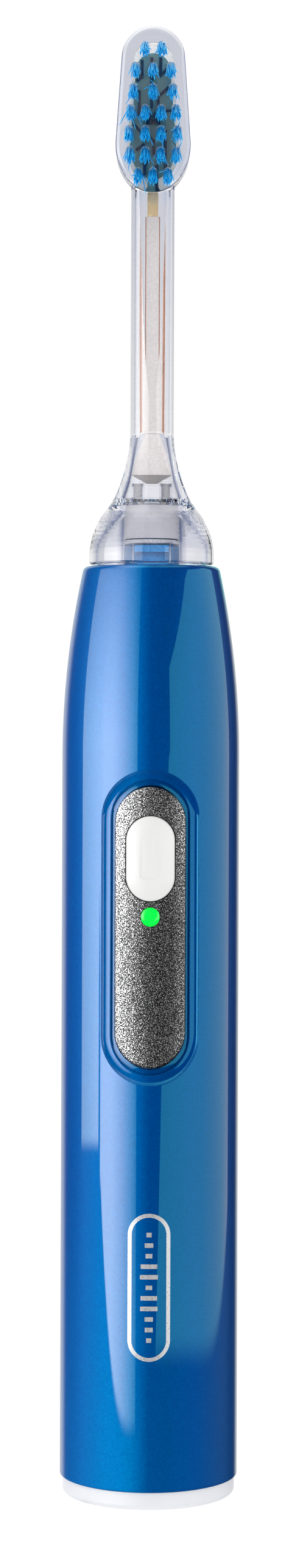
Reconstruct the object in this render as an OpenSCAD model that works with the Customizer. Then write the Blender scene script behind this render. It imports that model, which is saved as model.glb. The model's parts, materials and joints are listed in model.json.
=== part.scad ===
// Electric toothbrush: a sealed handle with an inductive charging base, and a clear push-on brush
// attachment whose head is driven by a piezo chip. Origin at the centre of the resting face, +Z up the
// handle, and the button and the bristles face -Y. Millimetres.

/* [Handle] */
// Outer diameter of the handle
handle_d = 28; // [27:0.5:36]
// Height of the handle's top deck above the resting face
handle_h = 146; // [121:1:180]
// Wall thickness of the handle shell
shell_wall = 1.8; // [1.4:0.1:2.2]
// Height over which the shoulder curves in
shoulder_h = 30; // [20:1:36]
// How far the shoulder curves in by the top edge
shoulder_drop = 3.3; // [2:0.1:3.6]
// Rounding of the top edge
top_edge_r = 1; // [0.5:0.1:1.4]
// Thickness of the top deck
deck_t = 2; // [1.5:0.1:2.6]

/* [Base and charging socket] */
// Height of the base cap that shows under the shell
base_h = 2.8; // [2:0.1:4]
// Step from the shell in to the base cap
base_step = 0.45; // [0.2:0.05:1]
// Rounding of the base cap's foot
foot_r = 0.8; // [0.4:0.1:1.4]
// Diameter of the charging socket
socket_d = 8.4; // [6:0.1:10.4]
// Depth of the charging socket
socket_h = 15; // [10:0.5:16]

/* [Control panel] */
// Width of the silver panel
panel_w = 11; // [9.8:0.1:13.2]
// Height of the silver panel
panel_h = 43.5; // [34:0.5:53]
// Distance from the top deck down to the panel
panel_drop = 34.4; // [33:0.2:42]
// Depth of the pocket that the panel lies in
pocket_depth = 1.1; // [0.9:0.05:1.4]
// Width of the button
button_w = 7.6; // [6:0.1:8.6]
// Height of the button
button_h = 13.2; // [10:0.1:16]
// How far the button goes in
button_travel = 0.4; // [0.2:0.05:0.6]
// Diameter of the status light
light_d = 2.86; // [2:0.02:3.6]

/* [Badge] */
// Width of the capsule mark
badge_w = 6.56; // [5:0.02:8]
// Height of the capsule mark
badge_h = 22.8; // [16:0.2:27]
// Height of the capsule mark's centre above the resting face
badge_z = 34.5; // [28:0.5:42]

/* [Power cell] */
// Diameter of the cell
cell_d = 14.2; // [10:0.1:14.4]
// Length of the cell
cell_h = 50; // [38:0.5:60]

/* [Brush attachment] */
// Length of the attachment above the deck
brush_l = 85; // [72:0.2:102]
// Diameter of the spigot that the attachment pushes on to
spigot_d = 8.8; // [7.6:0.1:10.6]
// Height of the spigot above the deck
spigot_h = 8.8; // [8:0.1:11]
// Diameter of the bell at its mouth
bell_d = 19.6; // [17:0.1:22]
// Diameter of the neck
neck_d = 6.9; // [6:0.1:8.2]
// Widest width of the head
head_w = 11.84; // [11:0.02:14.2]
// Length of the bristles in front of the head
bristle_l = 9; // [6:0.1:10.6]
// Diameter of a tuft
tuft_d = 1.44; // [1.1:0.02:1.74]
// How far the bristles lean down from square to the head, in degrees
bristle_lean = 18; // [0:1:20]

/* [Hidden] */
$fn = 48;

// Clearances
gap = 0.05;        // between pieces that are assembled and stay
slip = 0.15;       // push-on fit, on the radius
seam = 0.1;        // visible line between shell and base cap

// Shell
handle_r = handle_d / 2;
cavity_r = handle_r - shell_wall;
shoulder_z = handle_h - shoulder_h;
shoulder_r = (shoulder_h * shoulder_h + shoulder_drop * shoulder_drop) / (2 * shoulder_drop);
shoulder_x = handle_r - shoulder_r;
deck_z = handle_h - deck_t;
shell_z = base_h + seam;

// Base cap
cap_r = handle_r - base_step;
skirt_r = cavity_r - slip;
skirt_t = 1.5;
skirt_z = 9;
seal_z = 5.6;
seal_groove = [1.1, 1.4];
socket_r = socket_d / 2;
socket_wall = 1.2;
socket_chamfer = 0.4;

// Charging coil
bobbin_r = socket_r + socket_wall + slip;
bobbin_wall = 0.8;
bobbin_z = base_h + gap;
bobbin_h = 11.2;
bobbin_flange = skirt_r - skirt_t - 1 - bobbin_r - bobbin_wall;
winding_inset = 0.7;
lead_r = 0.4;

// Control panel, measured as distances in front of the axis
floor_r = handle_r - pocket_depth;
gasket_t = 0.15;
plate_t = 0.6;
pocket_side = 2.15;
pocket_end = 2.5;
pocket_step = 0.65;     // width of the upper step of the pocket
pocket_step_depth = 0.5;
panel_z = handle_h - panel_drop - panel_h / 2;
plate_in_r = floor_r + gasket_t;
plate_out_r = plate_in_r + plate_t;
button_z = panel_z + panel_h / 2 - 11.1;
button_gap = 0.1;
button_top_r = handle_r - 0.05;
button_lip = 0.9;
mark_r = button_w * 0.36;
mark_stroke = 0.7;
mark_depth = 0.15;
mark_drop = 0.6;
flange_t = 0.6;
flange_out = sqrt(pow(plate_in_r, 2) - pow(button_w / 2 + button_lip, 2)) - 0.1;
flange_in = flange_out - flange_t;
recess_in = flange_in - button_travel - 0.1;
pad_in = recess_in - 1.15;
pad_margin = 1;
stem_r = 1.6;
grommet_t = 1;
light_z = button_z - button_h / 2 - 2.4;
light_r = light_d / 2;
light_collar = 0.6;

// Circuit board and what is on its front
board_front = pad_in - 3.2;
board_t = 1;
board_back = board_front - board_t;
board_w = 18;
switch_w = 4.6;
switch_top = board_front + 2;
plunger_r = 1.1;
plunger_top = switch_top + 0.75;
stem_in = plunger_top + 0.02;
led_size = [1.6, 2.8, 0.8];

// Cell, and the chassis round it
cell_r = cell_d / 2;
cell_gap = 2.1;
cell_y = cell_r + cell_gap - board_back;
frame_floor_z = socket_h + socket_wall + 2.4;
frame_floor_t = 1.4;
cell_z = frame_floor_z + frame_floor_t + 0.6;
cell_top = cell_z + cell_h;
frame_r = cavity_r - 0.25;
frame_wall = 1;
trough_r = cell_r + slip;
rail = [6.4, 9.2];         // inner and outer x of the rails under the board
rail_t = 1.7;
frame_top = handle_h - 18;
top_plate_t = 1.4;
board_z0 = frame_floor_z + frame_floor_t + 2.5;
board_z1 = handle_h - 22;
board_screw_x = 7.8;
board_screws_z = [board_z0 + 4, board_z1 - 4];
boss = [2.8, 4.6, 5];      // x, y and z of the bosses for the board's screws
screw_r = 0.7;
screw_hole_r = 0.75;
screw_head_r = 1.15;
screw_head_t = 0.9;

// Drive circuit on the back of the board, above the cell
core_size = [9, 8, 7];
core_wall = 1.6;
core_leg_r = 1.3;
core_z = cell_top + 4;
capacitor_r = 2;
capacitor_l = 6;
capacitor_z = core_z + core_size[2] + 5;

// Spigot
spigot_r = spigot_d / 2;
spigot_top = handle_h + spigot_h;
spigot_flange_r = 8.4;
spigot_flange_t = 2.2;
flange_z = deck_z - gap - spigot_flange_t;
neck_plug_r = spigot_r + 0.9;
column_h = 3.3;
ring_h = 1.1;
sleeve_z = handle_h + column_h + ring_h;
sleeve_t = 0.75;
sleeve_roof = 0.6;
core_r = spigot_r - sleeve_t - gap;
ring_section = 0.4;
key = [5.2, 0.7, 1.1];     // width, how far it stands out, height
key_z = 2.1;               // height of the key's underside above the deck
pin_x = 2.2;
pin_r = 0.5;
pin_z0 = flange_z - 2.3;
pin_z1 = spigot_top + 3.6;
pin_bore_r = 0.55;
post_at = [5.9, 3.6];
post_r = 1.6;

// Attachment
bell_r = bell_d / 2;
bell_wall = 1.2;
bell_z = handle_h + 0.25;
neck_r = neck_d / 2;
sleeve_in_r = spigot_r + slip;
sleeve_wall = 0.9;
sleeve_out_r = sleeve_in_r + sleeve_wall;
waist_r = sleeve_out_r + slip + bell_wall + 0.1;
roof_z = spigot_top + 0.25;
roof_t = 0.8;
socket_post_r = 1.05;
socket_post_top = roof_z + roof_t + 3;
post_zone_r = pin_x + socket_post_r + 0.25;
potting_z = socket_post_top + 1.2;
potting_top = potting_z + 6.8;
potting_low = socket_post_top - 0.1;   // where the potting ends between the socket posts
potting_low_r = 0.85;
neck_z = handle_h + 21;
channel = [4.4, 3];        // width and depth of the channel in the neck
strip = [2, 1.2];
wire_r = 0.14;
neck_lean = 0.5;           // how far the neck's front ends up behind the tuft plate's face

// Head
head_top = handle_h + brush_l;
head_low_r = head_w / 2;
head_low_k = 7.7;          // the low end is half an ellipse, this tall
head_top_r = head_low_r - 0.92;
head_gap = 13.5;
head_z = head_top - head_top_r - head_gap;
head_bottom = head_z - head_low_k;
plate_front = 3.2;
plate_back = 1.3;
head_back = -2.4;
carrier_inset = [1.8, 2.4, 1];   // how far the carrier stays inside the head: at the sides, top and bottom
board_inset = [2.28, 4, 2.3];
cavity_back = -0.95;
carrier_front = 0.05;
board_sheet_t = 0.35;
track_t = 0.1;
track_w = 0.46;
tail_w = 1.7;
tail_z = head_bottom + 0.35;
tab = [1.7, 0.7, 3.85];
strip_top = tail_z - gap - tab[2] - gap;
tuft_r = tuft_d / 2;
tuft_root = 1.6;
root_play = 0.02;   // clearance round and behind a tuft's root
root_waist = 0.04;  // how much thinner a tuft is inside the plate
root_reach = 0.05;  // how far the thinner root runs on into the leaning part
tuft_top_z = head_top - 3.2;
tuft_pitch = 3.31;
// How far each row's tufts stand from the centre line, from the top row down
TUFT_ROWS = [[-1.32, 1.32], [-2.8, 0, 2.8], [-3.1, 0, 3.1], [-3.56, -1.24, 1.24, 3.56],
             [-3.82, -1.24, 1.24, 3.82], [-3.61, -1.22, 1.22, 3.61], [-2.34, 0, 2.34]];
anchor = [1.36, 0.25, 1.2];  // width, thickness and depth of the staple in each tuft hole

function arc(x, y, r, a0, a1, n, first = 0) =
    [for (i = [first:n]) let(a = a0 + (a1 - a0) * i / n) [x + r * cos(a), y + r * sin(a)]];
function bezier(p0, p1, p2, p3, n, first = 0) =
    [for (i = [first:n]) let(t = i / n, u = 1 - t)
        u * u * u * p0 + 3 * u * u * t * p1 + 3 * u * t * t * p2 + t * t * t * p3];
function inner_r(z) = z <= shoulder_z ? cavity_r
    : shoulder_x + sqrt(pow(shoulder_r - shell_wall, 2) - pow(z - shoulder_z, 2));
// The head's outline with its low end's centre at the origin, pulled in at its sides, top and bottom
function head_outline(inset) =
    let(top_r = head_top_r - inset[0], top_z = head_gap + inset[0] - inset[1],
        a = asin((head_low_r - head_top_r) / head_gap))
    concat(arc(0, top_z, top_r, a, 180 - a, 20),
           [for (i = [0:24]) let(a = 180 + 180 * i / 24)
               [(head_low_r - inset[0]) * cos(a), (head_low_k - inset[2]) * sin(a)]]);

// A flat shape drawn in X and Z, from one distance in front of the axis to a larger one
module front_slab(from, to) {
    translate([0, -from, 0]) rotate([90, 0, 0]) linear_extrude(to - from) children();
}

module stadium(w, h) {
    square([w, h - w], center = true);
    for (side = [-1, 1]) translate([0, side * (h - w) / 2]) circle(d = w);
}

module at_panel(z) { translate([0, 0, z]) children(); }

module ring(r_in, r_out, h) {
    difference() {
        cylinder(r = r_out, h = h);
        translate([0, 0, -1]) cylinder(r = r_in, h = h + 2);
    }
}

module rod(from, to, r) {
    d = to - from;
    translate(from) rotate([0, acos(d[2] / norm(d)), atan2(d[1], d[0])]) cylinder(r = r, h = norm(d));
}

// A screw at the origin with its head in front and its shank pointing back along +Y
module board_screw(length) {
    rotate([-90, 0, 0]) cylinder(r = screw_r, h = length);
    difference() {
        rotate([90, 0, 0]) cylinder(r = screw_head_r, h = screw_head_t);
        translate([-0.15, -screw_head_t - 1, -0.8]) cube([0.3, 1.4, 1.6]);
    }
}

// ---- Handle casing ----

module shell_outside() {
    edge_a = asin((handle_h - top_edge_r - shoulder_z) / (shoulder_r - top_edge_r));
    edge_x = shoulder_x + (shoulder_r - top_edge_r) * cos(edge_a);
    rotate_extrude() polygon(concat(
        [[0, shell_z], [handle_r, shell_z]],
        arc(shoulder_x, shoulder_z, shoulder_r, 0, edge_a, 16),
        arc(edge_x, handle_h - top_edge_r, top_edge_r, edge_a, 90, 6, 1),
        [[0, handle_h]]));
}

module shell_cavity() {
    cavity_a = asin((deck_z - shoulder_z) / (shoulder_r - shell_wall));
    rotate_extrude() polygon(concat(
        [[0, 0], [cavity_r, 0]],
        arc(shoulder_x, shoulder_z, shoulder_r - shell_wall, 0, cavity_a, 12),
        [[0, deck_z]]));
}

// The pocket in the front of the shell: two steps, each with a floor that follows the handle
module panel_pocket() {
    for (level = [[0, handle_r - pocket_step_depth], [pocket_step, floor_r]])
        at_panel(panel_z) difference() {
            front_slab(0, handle_r + 1)
                stadium(panel_w + 2 * (pocket_side - level[0]), panel_h + 2 * (pocket_end - level[0]));
            translate([0, 0, -panel_h]) cylinder(r = level[1], h = 2 * panel_h);
        }
}

// The thick pad behind the pocket, flat on the inside
module panel_pad() {
    at_panel(panel_z) intersection() {
        front_slab(pad_in, handle_r)
            stadium(panel_w + 2 * (pocket_side + pad_margin), panel_h + 2 * (pocket_end + pad_margin));
        translate([0, 0, -panel_h]) cylinder(r = handle_r - 0.6, h = 2 * panel_h);
    }
}

// The capsule and the waveform bars of the mark, grown all round by a clearance
badge_stroke = 0.6;
badge_bars = 11;
module badge_shape(grow) {
    difference() {
        stadium(badge_w + 2 * grow, badge_h + 2 * grow);
        stadium(badge_w - 2 * (badge_stroke + grow), badge_h - 2 * (badge_stroke + grow));
    }
    pitch = (badge_h - badge_w) / (badge_bars - 1);
    for (i = [0:badge_bars - 1]) {
        bar = 0.8 + 2.4 * abs(sin(i * 180 / (badge_bars - 1)) * cos(i * 125));
        translate([0, (i - (badge_bars - 1) / 2) * pitch])
            square([bar + 2 * grow, 0.7 + 2 * grow], center = true);
    }
}

module badge_layer(grow, r_in, r_out) {
    translate([0, 0, badge_z]) intersection() {
        front_slab(1, handle_r + 1) badge_shape(grow);
        translate([0, 0, -badge_h]) ring(r_in, r_out, 2 * badge_h);
    }
}

module handle_shell() {
    color([0.02, 0.22, 0.62]) difference() {
        union() {
            difference() {
                shell_outside();
                shell_cavity();
            }
            panel_pad();
        }
        panel_pocket();
        at_panel(button_z) front_slab(recess_in, handle_r + 1)
            stadium(button_w + 2 * (button_lip + slip), button_h + 2 * (button_lip + slip));
        at_panel(button_z) front_slab(pad_in - 1, handle_r + 1) circle(r = stem_r + grommet_t);
        at_panel(light_z) front_slab(pad_in - 1, handle_r + 1) circle(r = light_r + gap);
        badge_layer(0.02, handle_r - 0.3, handle_r + 1);
        translate([0, 0, deck_z - 1]) cylinder(r = neck_plug_r + slip, h = deck_t + 2);
    }
}

module badge() {
    color([0.78, 0.79, 0.8]) badge_layer(0, handle_r - 0.27, handle_r);
}

// ---- Base and charging coil ----

module base_cap() {
    groove_r = skirt_r - seal_groove[0];
    inner = skirt_r - skirt_t;
    color([0.93, 0.94, 0.96]) rotate_extrude() polygon(concat(
        [[socket_r, socket_chamfer], [socket_r + socket_chamfer, 0], [cap_r - foot_r, 0]],
        arc(cap_r - foot_r, foot_r, foot_r, -90, 0, 8, 1),
        [[cap_r, base_h], [skirt_r, base_h], [skirt_r, seal_z], [groove_r, seal_z],
         [groove_r, seal_z + seal_groove[1]], [skirt_r, seal_z + seal_groove[1]], [skirt_r, skirt_z],
         [inner, skirt_z], [inner, seal_z - 0.8], [inner - 0.9, base_h],
         [socket_r + socket_wall, base_h], [socket_r + socket_wall, socket_h + socket_wall],
         [0, socket_h + socket_wall], [0, socket_h], [socket_r, socket_h]]));
}

module o_ring(centre_r, section_r, z) {
    translate([0, 0, z]) rotate_extrude() translate([centre_r, 0]) circle(r = section_r);
}

module base_seal() {
    section = (cavity_r - skirt_r + seal_groove[0]) / 2 - 0.03;
    color([0.08, 0.08, 0.09])
        o_ring(cavity_r - 0.03 - section, section, seal_z + seal_groove[1] / 2);
}

module coil_bobbin() {
    r = bobbin_r + bobbin_wall;
    color([0.85, 0.82, 0.72]) translate([0, 0, bobbin_z]) {
        ring(bobbin_r, r, bobbin_h);
        for (z = [0, bobbin_h - 0.8]) translate([0, 0, z]) ring(r - 0.3, r + bobbin_flange, 0.8);
    }
}

module charge_coil() {
    r = bobbin_r + bobbin_wall;
    color([0.72, 0.4, 0.2]) translate([0, 0, bobbin_z + 0.8 + gap])
        ring(r + gap, r + bobbin_flange - winding_inset, bobbin_h - 1.6 - 2 * gap);
}

module coil_leads() {
    z = bobbin_z + bobbin_h + 0.02;
    color([0.75, 0.1, 0.1]) for (side = [-1, 1])
        translate([side * 1.6, -board_front - lead_r - 0.03, z]) cylinder(r = lead_r, h = board_z0 + 3 - z);
}

// ---- Chassis, cell and board ----

module frame_section(with_trough) {
    difference() {
        union() {
            for (side = [-1, 1]) {
                translate([side * (rail[0] + rail[1]) / 2, -board_back + rail_t / 2])
                    square([rail[1] - rail[0], rail_t], center = true);
                translate([side * (trough_r + frame_wall / 2), -board_back]) translate([-frame_wall / 2, 0])
                    square([frame_wall, with_trough ? cell_y + board_back : 6]);
            }
            if (with_trough) translate([0, cell_y]) circle(r = trough_r + frame_wall);
        }
        if (with_trough) {
            translate([0, cell_y]) circle(r = trough_r);
            translate([-trough_r, -board_back + rail_t])
                square([2 * trough_r, cell_y + board_back - rail_t]);
            translate([-rail[0], -board_back - 1])
                square([2 * rail[0], cell_y + board_back + 1]);
        }
    }
}

module chassis() {
    lower_top = cell_top + 2.5;
    plate_r = min(frame_r, inner_r(frame_top) - 0.3);
    floor_top = frame_floor_z + frame_floor_t;
    color([0.2, 0.21, 0.23]) difference() {
        union() {
            translate([0, 0, skirt_z + gap])
                ring(frame_r - frame_wall, frame_r, floor_top - skirt_z - gap);
            translate([0, 0, frame_floor_z]) cylinder(r = frame_r - 0.5, h = frame_floor_t);
            translate([0, 0, floor_top - 0.5]) linear_extrude(lower_top - floor_top + 0.5)
                frame_section(true);
            translate([0, 0, lower_top - 0.5]) linear_extrude(frame_top - lower_top)
                frame_section(false);
            translate([0, 0, cell_top + 0.6]) intersection() {
                translate([0, cell_y, 0]) cylinder(r = trough_r + 0.5, h = 1.9);
                translate([-10, -board_back + rail_t + 1, 0]) cube([20, 30, 1.9]);
            }
            translate([0, 0, frame_top - top_plate_t]) cylinder(r = plate_r, h = top_plate_t);
            for (side = [-1, 1]) {
                translate([side * post_at[0], post_at[1], frame_top - 0.5])
                    cylinder(r = post_r, h = flange_z - gap - frame_top + 0.5);
                boss_x = side * (rail[0] + boss[0] / 2) - boss[0] / 2;
                for (z = board_screws_z) translate([boss_x, -board_back, z - boss[2] / 2]) cube(boss);
            }
        }
        translate([-4, -frame_r - 1, frame_floor_z - 1])
            cube([8, frame_r + 1 - board_back, frame_floor_t + 1.5]);
        translate([-4, -frame_r - 1, frame_top - top_plate_t - 1])
            cube([8, frame_r + 1 - board_back, top_plate_t + 2]);
        for (side = [-1, 1]) {
            translate([side * post_at[0], post_at[1], flange_z - 6]) cylinder(r = screw_hole_r, h = 7);
            for (z = board_screws_z)
                translate([side * board_screw_x, -board_back - 1, z])
                    rotate([-90, 0, 0]) cylinder(r = screw_hole_r, h = 4.4);
        }
    }
}

module battery_cell() {
    color([0.2, 0.5, 0.3]) translate([0, cell_y, cell_z]) {
        cylinder(r = cell_r, h = cell_h - 1);
        translate([0, 0, cell_h - 1.01]) cylinder(r = cell_r * 0.4, h = 1.01);
    }
}

module cell_washer() {
    color([0.9, 0.9, 0.88]) translate([0, cell_y, cell_z + cell_h - 1 + 0.02])
        ring(cell_r * 0.4 + 0.1, cell_r - 0.3, 0.3);
}

// Nickel strips welded to the cell's ends, each bent up or down on the board's back
module cell_tabs() {
    tab_t = 0.2;
    reach = cell_y + board_back - 0.02;
    color([0.8, 0.8, 0.78]) for (end = [[cell_z - tab_t - 0.02, 0], [cell_top + 0.02, -3]]) {
        translate([-2, -board_back + 0.02, end[0]]) cube([4, reach + 2.5, tab_t]);
        translate([-2, -board_back + 0.02, end[0] + end[1]]) cube([4, tab_t, 3 + tab_t]);
    }
}

module circuit_board() {
    color([0.05, 0.35, 0.2]) difference() {
        translate([-board_w / 2, -board_front, board_z0]) cube([board_w, board_t, board_z1 - board_z0]);
        for (side = [-1, 1], z = board_screws_z)
            translate([side * board_screw_x, -board_front - 1, z])
                rotate([-90, 0, 0]) cylinder(r = screw_hole_r + 0.1, h = 4);
    }
}

module board_screws() {
    color([0.6, 0.6, 0.62]) for (side = [-1, 1], z = board_screws_z)
        translate([side * board_screw_x, -board_front - 0.02, z]) board_screw(4);
}

// A flat package on the front of the board, with a row of legs along both long sides
module front_chip(size, z, legs) {
    pitch = size[1] / legs;
    at_panel(z) {
        front_slab(board_front + 0.15, board_front + 0.15 + size[2])
            square([size[0], size[1]], center = true);
        for (i = [0:legs - 1])
            translate([0, 0, (i - (legs - 1) / 2) * pitch])
                front_slab(board_front + 0.02, board_front + 0.4)
                    square([size[0] + 1.6, pitch * 0.4], center = true);
    }
}

module driver_chip() {
    color([0.1, 0.1, 0.11]) front_chip([5, 6.2, 1.2], board_z0 + 16, 4);
}

module controller_chip() {
    color([0.12, 0.12, 0.13]) front_chip([6.6, 9, 1.2], board_z0 + 30, 7);
}

module step_up_core() {
    inside = core_size - 2 * [core_wall, 0, core_wall];
    color([0.18, 0.18, 0.19])
        translate([-core_size[0] / 2, -board_back + 0.02, core_z]) difference() {
            cube(core_size);
            translate([core_wall, -1, core_wall]) difference() {
                cube(inside + [0, 2, 0]);
                translate([inside[0] / 2, core_size[1] / 2 + 1, -1])
                    cylinder(r = core_leg_r, h = core_size[2]);
            }
        }
}

module step_up_winding() {
    color([0.75, 0.42, 0.2])
        translate([0, -board_back + 0.02 + core_size[1] / 2, core_z + core_wall + gap])
            ring(core_leg_r + gap, 2 * core_leg_r, core_size[2] - 2 * core_wall - 2 * gap);
}

module filter_capacitors() {
    color([0.15, 0.2, 0.45]) for (side = [-1, 1])
        translate([side * (capacitor_r + 0.3), -board_back + 0.05, capacitor_z])
            rotate([-90, 0, 0]) cylinder(r = capacitor_r, h = capacitor_l);
}

module chip_resistors() {
    color([0.25, 0.25, 0.26]) for (x = [-6, 6], i = [0:4])
        translate([x, 0, board_z0 + 14 + i * 4]) front_slab(board_front + 0.02, board_front + 0.5)
            square([1, 2], center = true);
}

module tact_switch() {
    color([0.75, 0.75, 0.77]) at_panel(button_z) difference() {
        front_slab(board_front + 0.02, switch_top) square(switch_w, center = true);
        front_slab(switch_top - 1.2, switch_top + 1) circle(r = plunger_r + gap);
    }
}

module switch_plunger() {
    color([0.1, 0.1, 0.1]) at_panel(button_z)
        front_slab(switch_top - 0.6, plunger_top) circle(r = plunger_r);
}

module status_led() {
    color([0.6, 1, 0.6]) at_panel(light_z) front_slab(board_front + 0.02, board_front + led_size[2])
        square([led_size[0], led_size[1]], center = true);
}

// ---- Control panel ----

module light_guide() {
    color([0.05, 0.9, 0.2]) at_panel(light_z) {
        front_slab(board_front + led_size[2] + 0.3, plate_out_r + 0.08) circle(r = light_r);
        front_slab(pad_in - 0.9, pad_in - gap) circle(r = light_r + light_collar);
    }
}

module curved_sheet(w, h, r_in, r_out) {
    intersection() {
        front_slab(1, handle_r + 1) stadium(w, h);
        translate([0, 0, -h]) ring(r_in, r_out, 2 * h);
    }
}

module control_panel() {
    color([0.75, 0.76, 0.78]) difference() {
        at_panel(panel_z) curved_sheet(panel_w, panel_h, plate_in_r, plate_out_r);
        at_panel(button_z) front_slab(1, handle_r + 1)
            stadium(button_w + 2 * button_gap, button_h + 2 * button_gap);
        at_panel(light_z) front_slab(1, handle_r + 1) circle(r = light_r + gap);
    }
}

module panel_gasket() {
    edge = button_lip + slip + 0.1;
    color([0.3, 0.3, 0.32]) difference() {
        at_panel(panel_z) curved_sheet(panel_w - 0.2, panel_h - 0.6, floor_r + 0.02, plate_in_r - 0.02);
        at_panel(button_z) front_slab(1, handle_r + 1) stadium(button_w + 2 * edge, button_h + 2 * edge);
        at_panel(light_z) front_slab(1, handle_r + 1) circle(r = light_r + 0.2);
    }
}

// An open ring with a bar in its gap
module power_mark() {
    difference() {
        circle(r = mark_r);
        circle(r = mark_r - mark_stroke);
        translate([-mark_stroke * 1.3, 0]) square([mark_stroke * 2.6, mark_r + 1]);
    }
    translate([-mark_stroke / 2, mark_r * 0.35]) square([mark_stroke, mark_r]);
}

module power_button() {
    color([0.95, 0.95, 0.94]) at_panel(button_z) {
        intersection() {
            difference() {
                front_slab(flange_in + 0.1, handle_r + 1) stadium(button_w, button_h);
                translate([0, 0, -mark_drop]) front_slab(button_top_r - mark_depth, handle_r + 1)
                    power_mark();
            }
            translate([0, 0, -button_h]) cylinder(r = button_top_r, h = 2 * button_h);
        }
        front_slab(flange_in, flange_out) stadium(button_w + 2 * button_lip, button_h + 2 * button_lip);
        front_slab(stem_in, flange_in + 0.1) circle(r = stem_r);
    }
}

module button_seal() {
    color([0.1, 0.1, 0.1]) at_panel(button_z) front_slab(pad_in, recess_in) difference() {
        circle(r = stem_r + grommet_t - 0.02);
        circle(r = stem_r + gap);
    }
}

// ---- Spigot on the deck ----

module spigot() {
    color([0.02, 0.25, 0.65]) difference() {
        union() {
            rotate_extrude() polygon([
                [0, flange_z], [spigot_flange_r, flange_z], [spigot_flange_r, deck_z - gap],
                [neck_plug_r, deck_z - gap], [neck_plug_r, deck_z + 0.5], [neck_plug_r - 0.8, deck_z + 0.5],
                [neck_plug_r - 0.8, deck_z + 1.5], [neck_plug_r, deck_z + 1.5], [neck_plug_r, handle_h],
                [spigot_r, handle_h], [spigot_r, handle_h + column_h], [core_r, handle_h + column_h],
                [core_r, spigot_top - sleeve_roof - gap], [0, spigot_top - sleeve_roof - gap]]);
            translate([-key[0] / 2, -spigot_r - key[1], handle_h + key_z])
                cube([key[0], key[1] + 1, key[2]]);
        }
        for (side = [-1, 1]) {
            translate([side * pin_x, 0, flange_z - 1]) cylinder(r = pin_bore_r, h = 30);
            translate([side * post_at[0], post_at[1], flange_z - 1])
                cylinder(r = screw_hole_r + 0.1, h = 8);
            translate([side * post_at[0], post_at[1], deck_z - gap - screw_head_t - 0.2])
                cylinder(r = screw_head_r + 0.1, h = screw_head_t + 0.4);
        }
    }
}

module spigot_sleeve() {
    color([0.72, 0.72, 0.73]) difference() {
        translate([0, 0, sleeve_z]) cylinder(r = spigot_r, h = spigot_top - sleeve_z);
        translate([0, 0, sleeve_z - 1])
            cylinder(r = spigot_r - sleeve_t, h = spigot_top - sleeve_roof - sleeve_z + 1);
        for (side = [-1, 1]) translate([side * pin_x, 0, spigot_top - 2])
            cylinder(r = pin_r + 0.3, h = 4);
    }
}

module spigot_ring() {
    color([0.75, 0.77, 0.78])
        o_ring(spigot_r + 0.1 - ring_section, ring_section, handle_h + column_h + ring_h / 2);
}

module neck_seal() {
    color([0.08, 0.08, 0.09])
        o_ring(neck_plug_r + slip - 0.03 - ring_section, ring_section, deck_z + 1);
}

module spigot_screws() {
    color([0.6, 0.6, 0.62]) for (side = [-1, 1])
        translate([side * post_at[0], post_at[1], deck_z - gap - screw_head_t - 0.18])
            rotate([90, 0, 0]) rotate([180, 0, 0]) board_screw(5.5);
}

module contact_pins() {
    color([0.85, 0.75, 0.5]) for (side = [-1, 1]) translate([side * pin_x, 0, pin_z0]) {
        cylinder(r = pin_r, h = pin_z1 - pin_z0 - 0.4);
        translate([0, 0, pin_z1 - pin_z0 - 0.4]) cylinder(r1 = pin_r, r2 = pin_r * 0.5, h = 0.4);
    }
}

module pin_leads() {
    front = -board_front - lead_r - 0.03;
    bend_top = pin_z0 - 2.5;
    bend_low = frame_top + 1;
    color([0.75, 0.1, 0.1]) for (side = [-1, 1]) {
        rod([side * pin_x, 0, bend_top], [side * pin_x, 0, pin_z0 - 0.02], lead_r);
        rod([side * pin_x, 0, bend_top], [side * pin_x, front, bend_low], lead_r);
        rod([side * pin_x, front, board_z1 - 3], [side * pin_x, front, bend_low], lead_r);
        for (at = [[0, bend_top], [front, bend_low]])
            translate([side * pin_x, at[0], at[1]]) sphere(r = lead_r + 0.04);
    }
}

// ---- Brush attachment ----

dome_z = handle_h + 2;
waist_z = roof_z + 0.25;
module bell_outside() {
    rotate_extrude() polygon(concat(
        [[0, bell_z], [bell_r - 0.4, bell_z]],
        arc(bell_r - 0.4, bell_z + 0.4, 0.4, -90, 0, 4, 1),
        bezier([bell_r, dome_z], [bell_r, dome_z + 2.6],
               [waist_r + 1.6, waist_z - 1.9], [waist_r, waist_z], 10),
        bezier([waist_r, waist_z], [waist_r - 1.7, waist_z + 2.1],
               [neck_r, neck_z - 4], [neck_r, neck_z], 12, 1),
        [[neck_r, head_z - 3], [0, head_z - 3]]));
}

module bell_inside() {
    mouth_r = bell_r - bell_wall;
    seat_r = sleeve_out_r + gap;
    rotate_extrude() polygon(concat(
        [[0, bell_z - 1], [mouth_r, bell_z - 1]],
        bezier([mouth_r, dome_z], [mouth_r, dome_z + 2.4],
               [seat_r + 1.5, waist_z - 2.9], [seat_r, waist_z - 1.3], 10),
        [[seat_r, roof_z + 0.1], [post_zone_r + 0.9, roof_z + roof_t + 0.2],
         [post_zone_r, socket_post_top + 0.3], [post_zone_r - 0.2, potting_z],
         [channel[0] / 2, potting_top], [0, potting_top]]));
}

// The head from one distance in front of the axis to another, pulled in at its sides, top and bottom
module head_slab(inset, from, to) {
    translate([0, 0, head_z]) front_slab(from, to) polygon(head_outline(inset));
}

// What is cut off the front of the neck, so that it leans back to behind the tuft plate's face
module neck_flat() {
    translate([-10, 0, 0]) rotate([90, 0, 90]) linear_extrude(20)
        polygon([[-neck_r, neck_z + 4], [-plate_front + neck_lean, head_bottom + 0.5],
                 [-plate_front + neck_lean, head_z], [-neck_r - 2, head_z], [-neck_r - 2, neck_z + 4]]);
}

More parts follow.
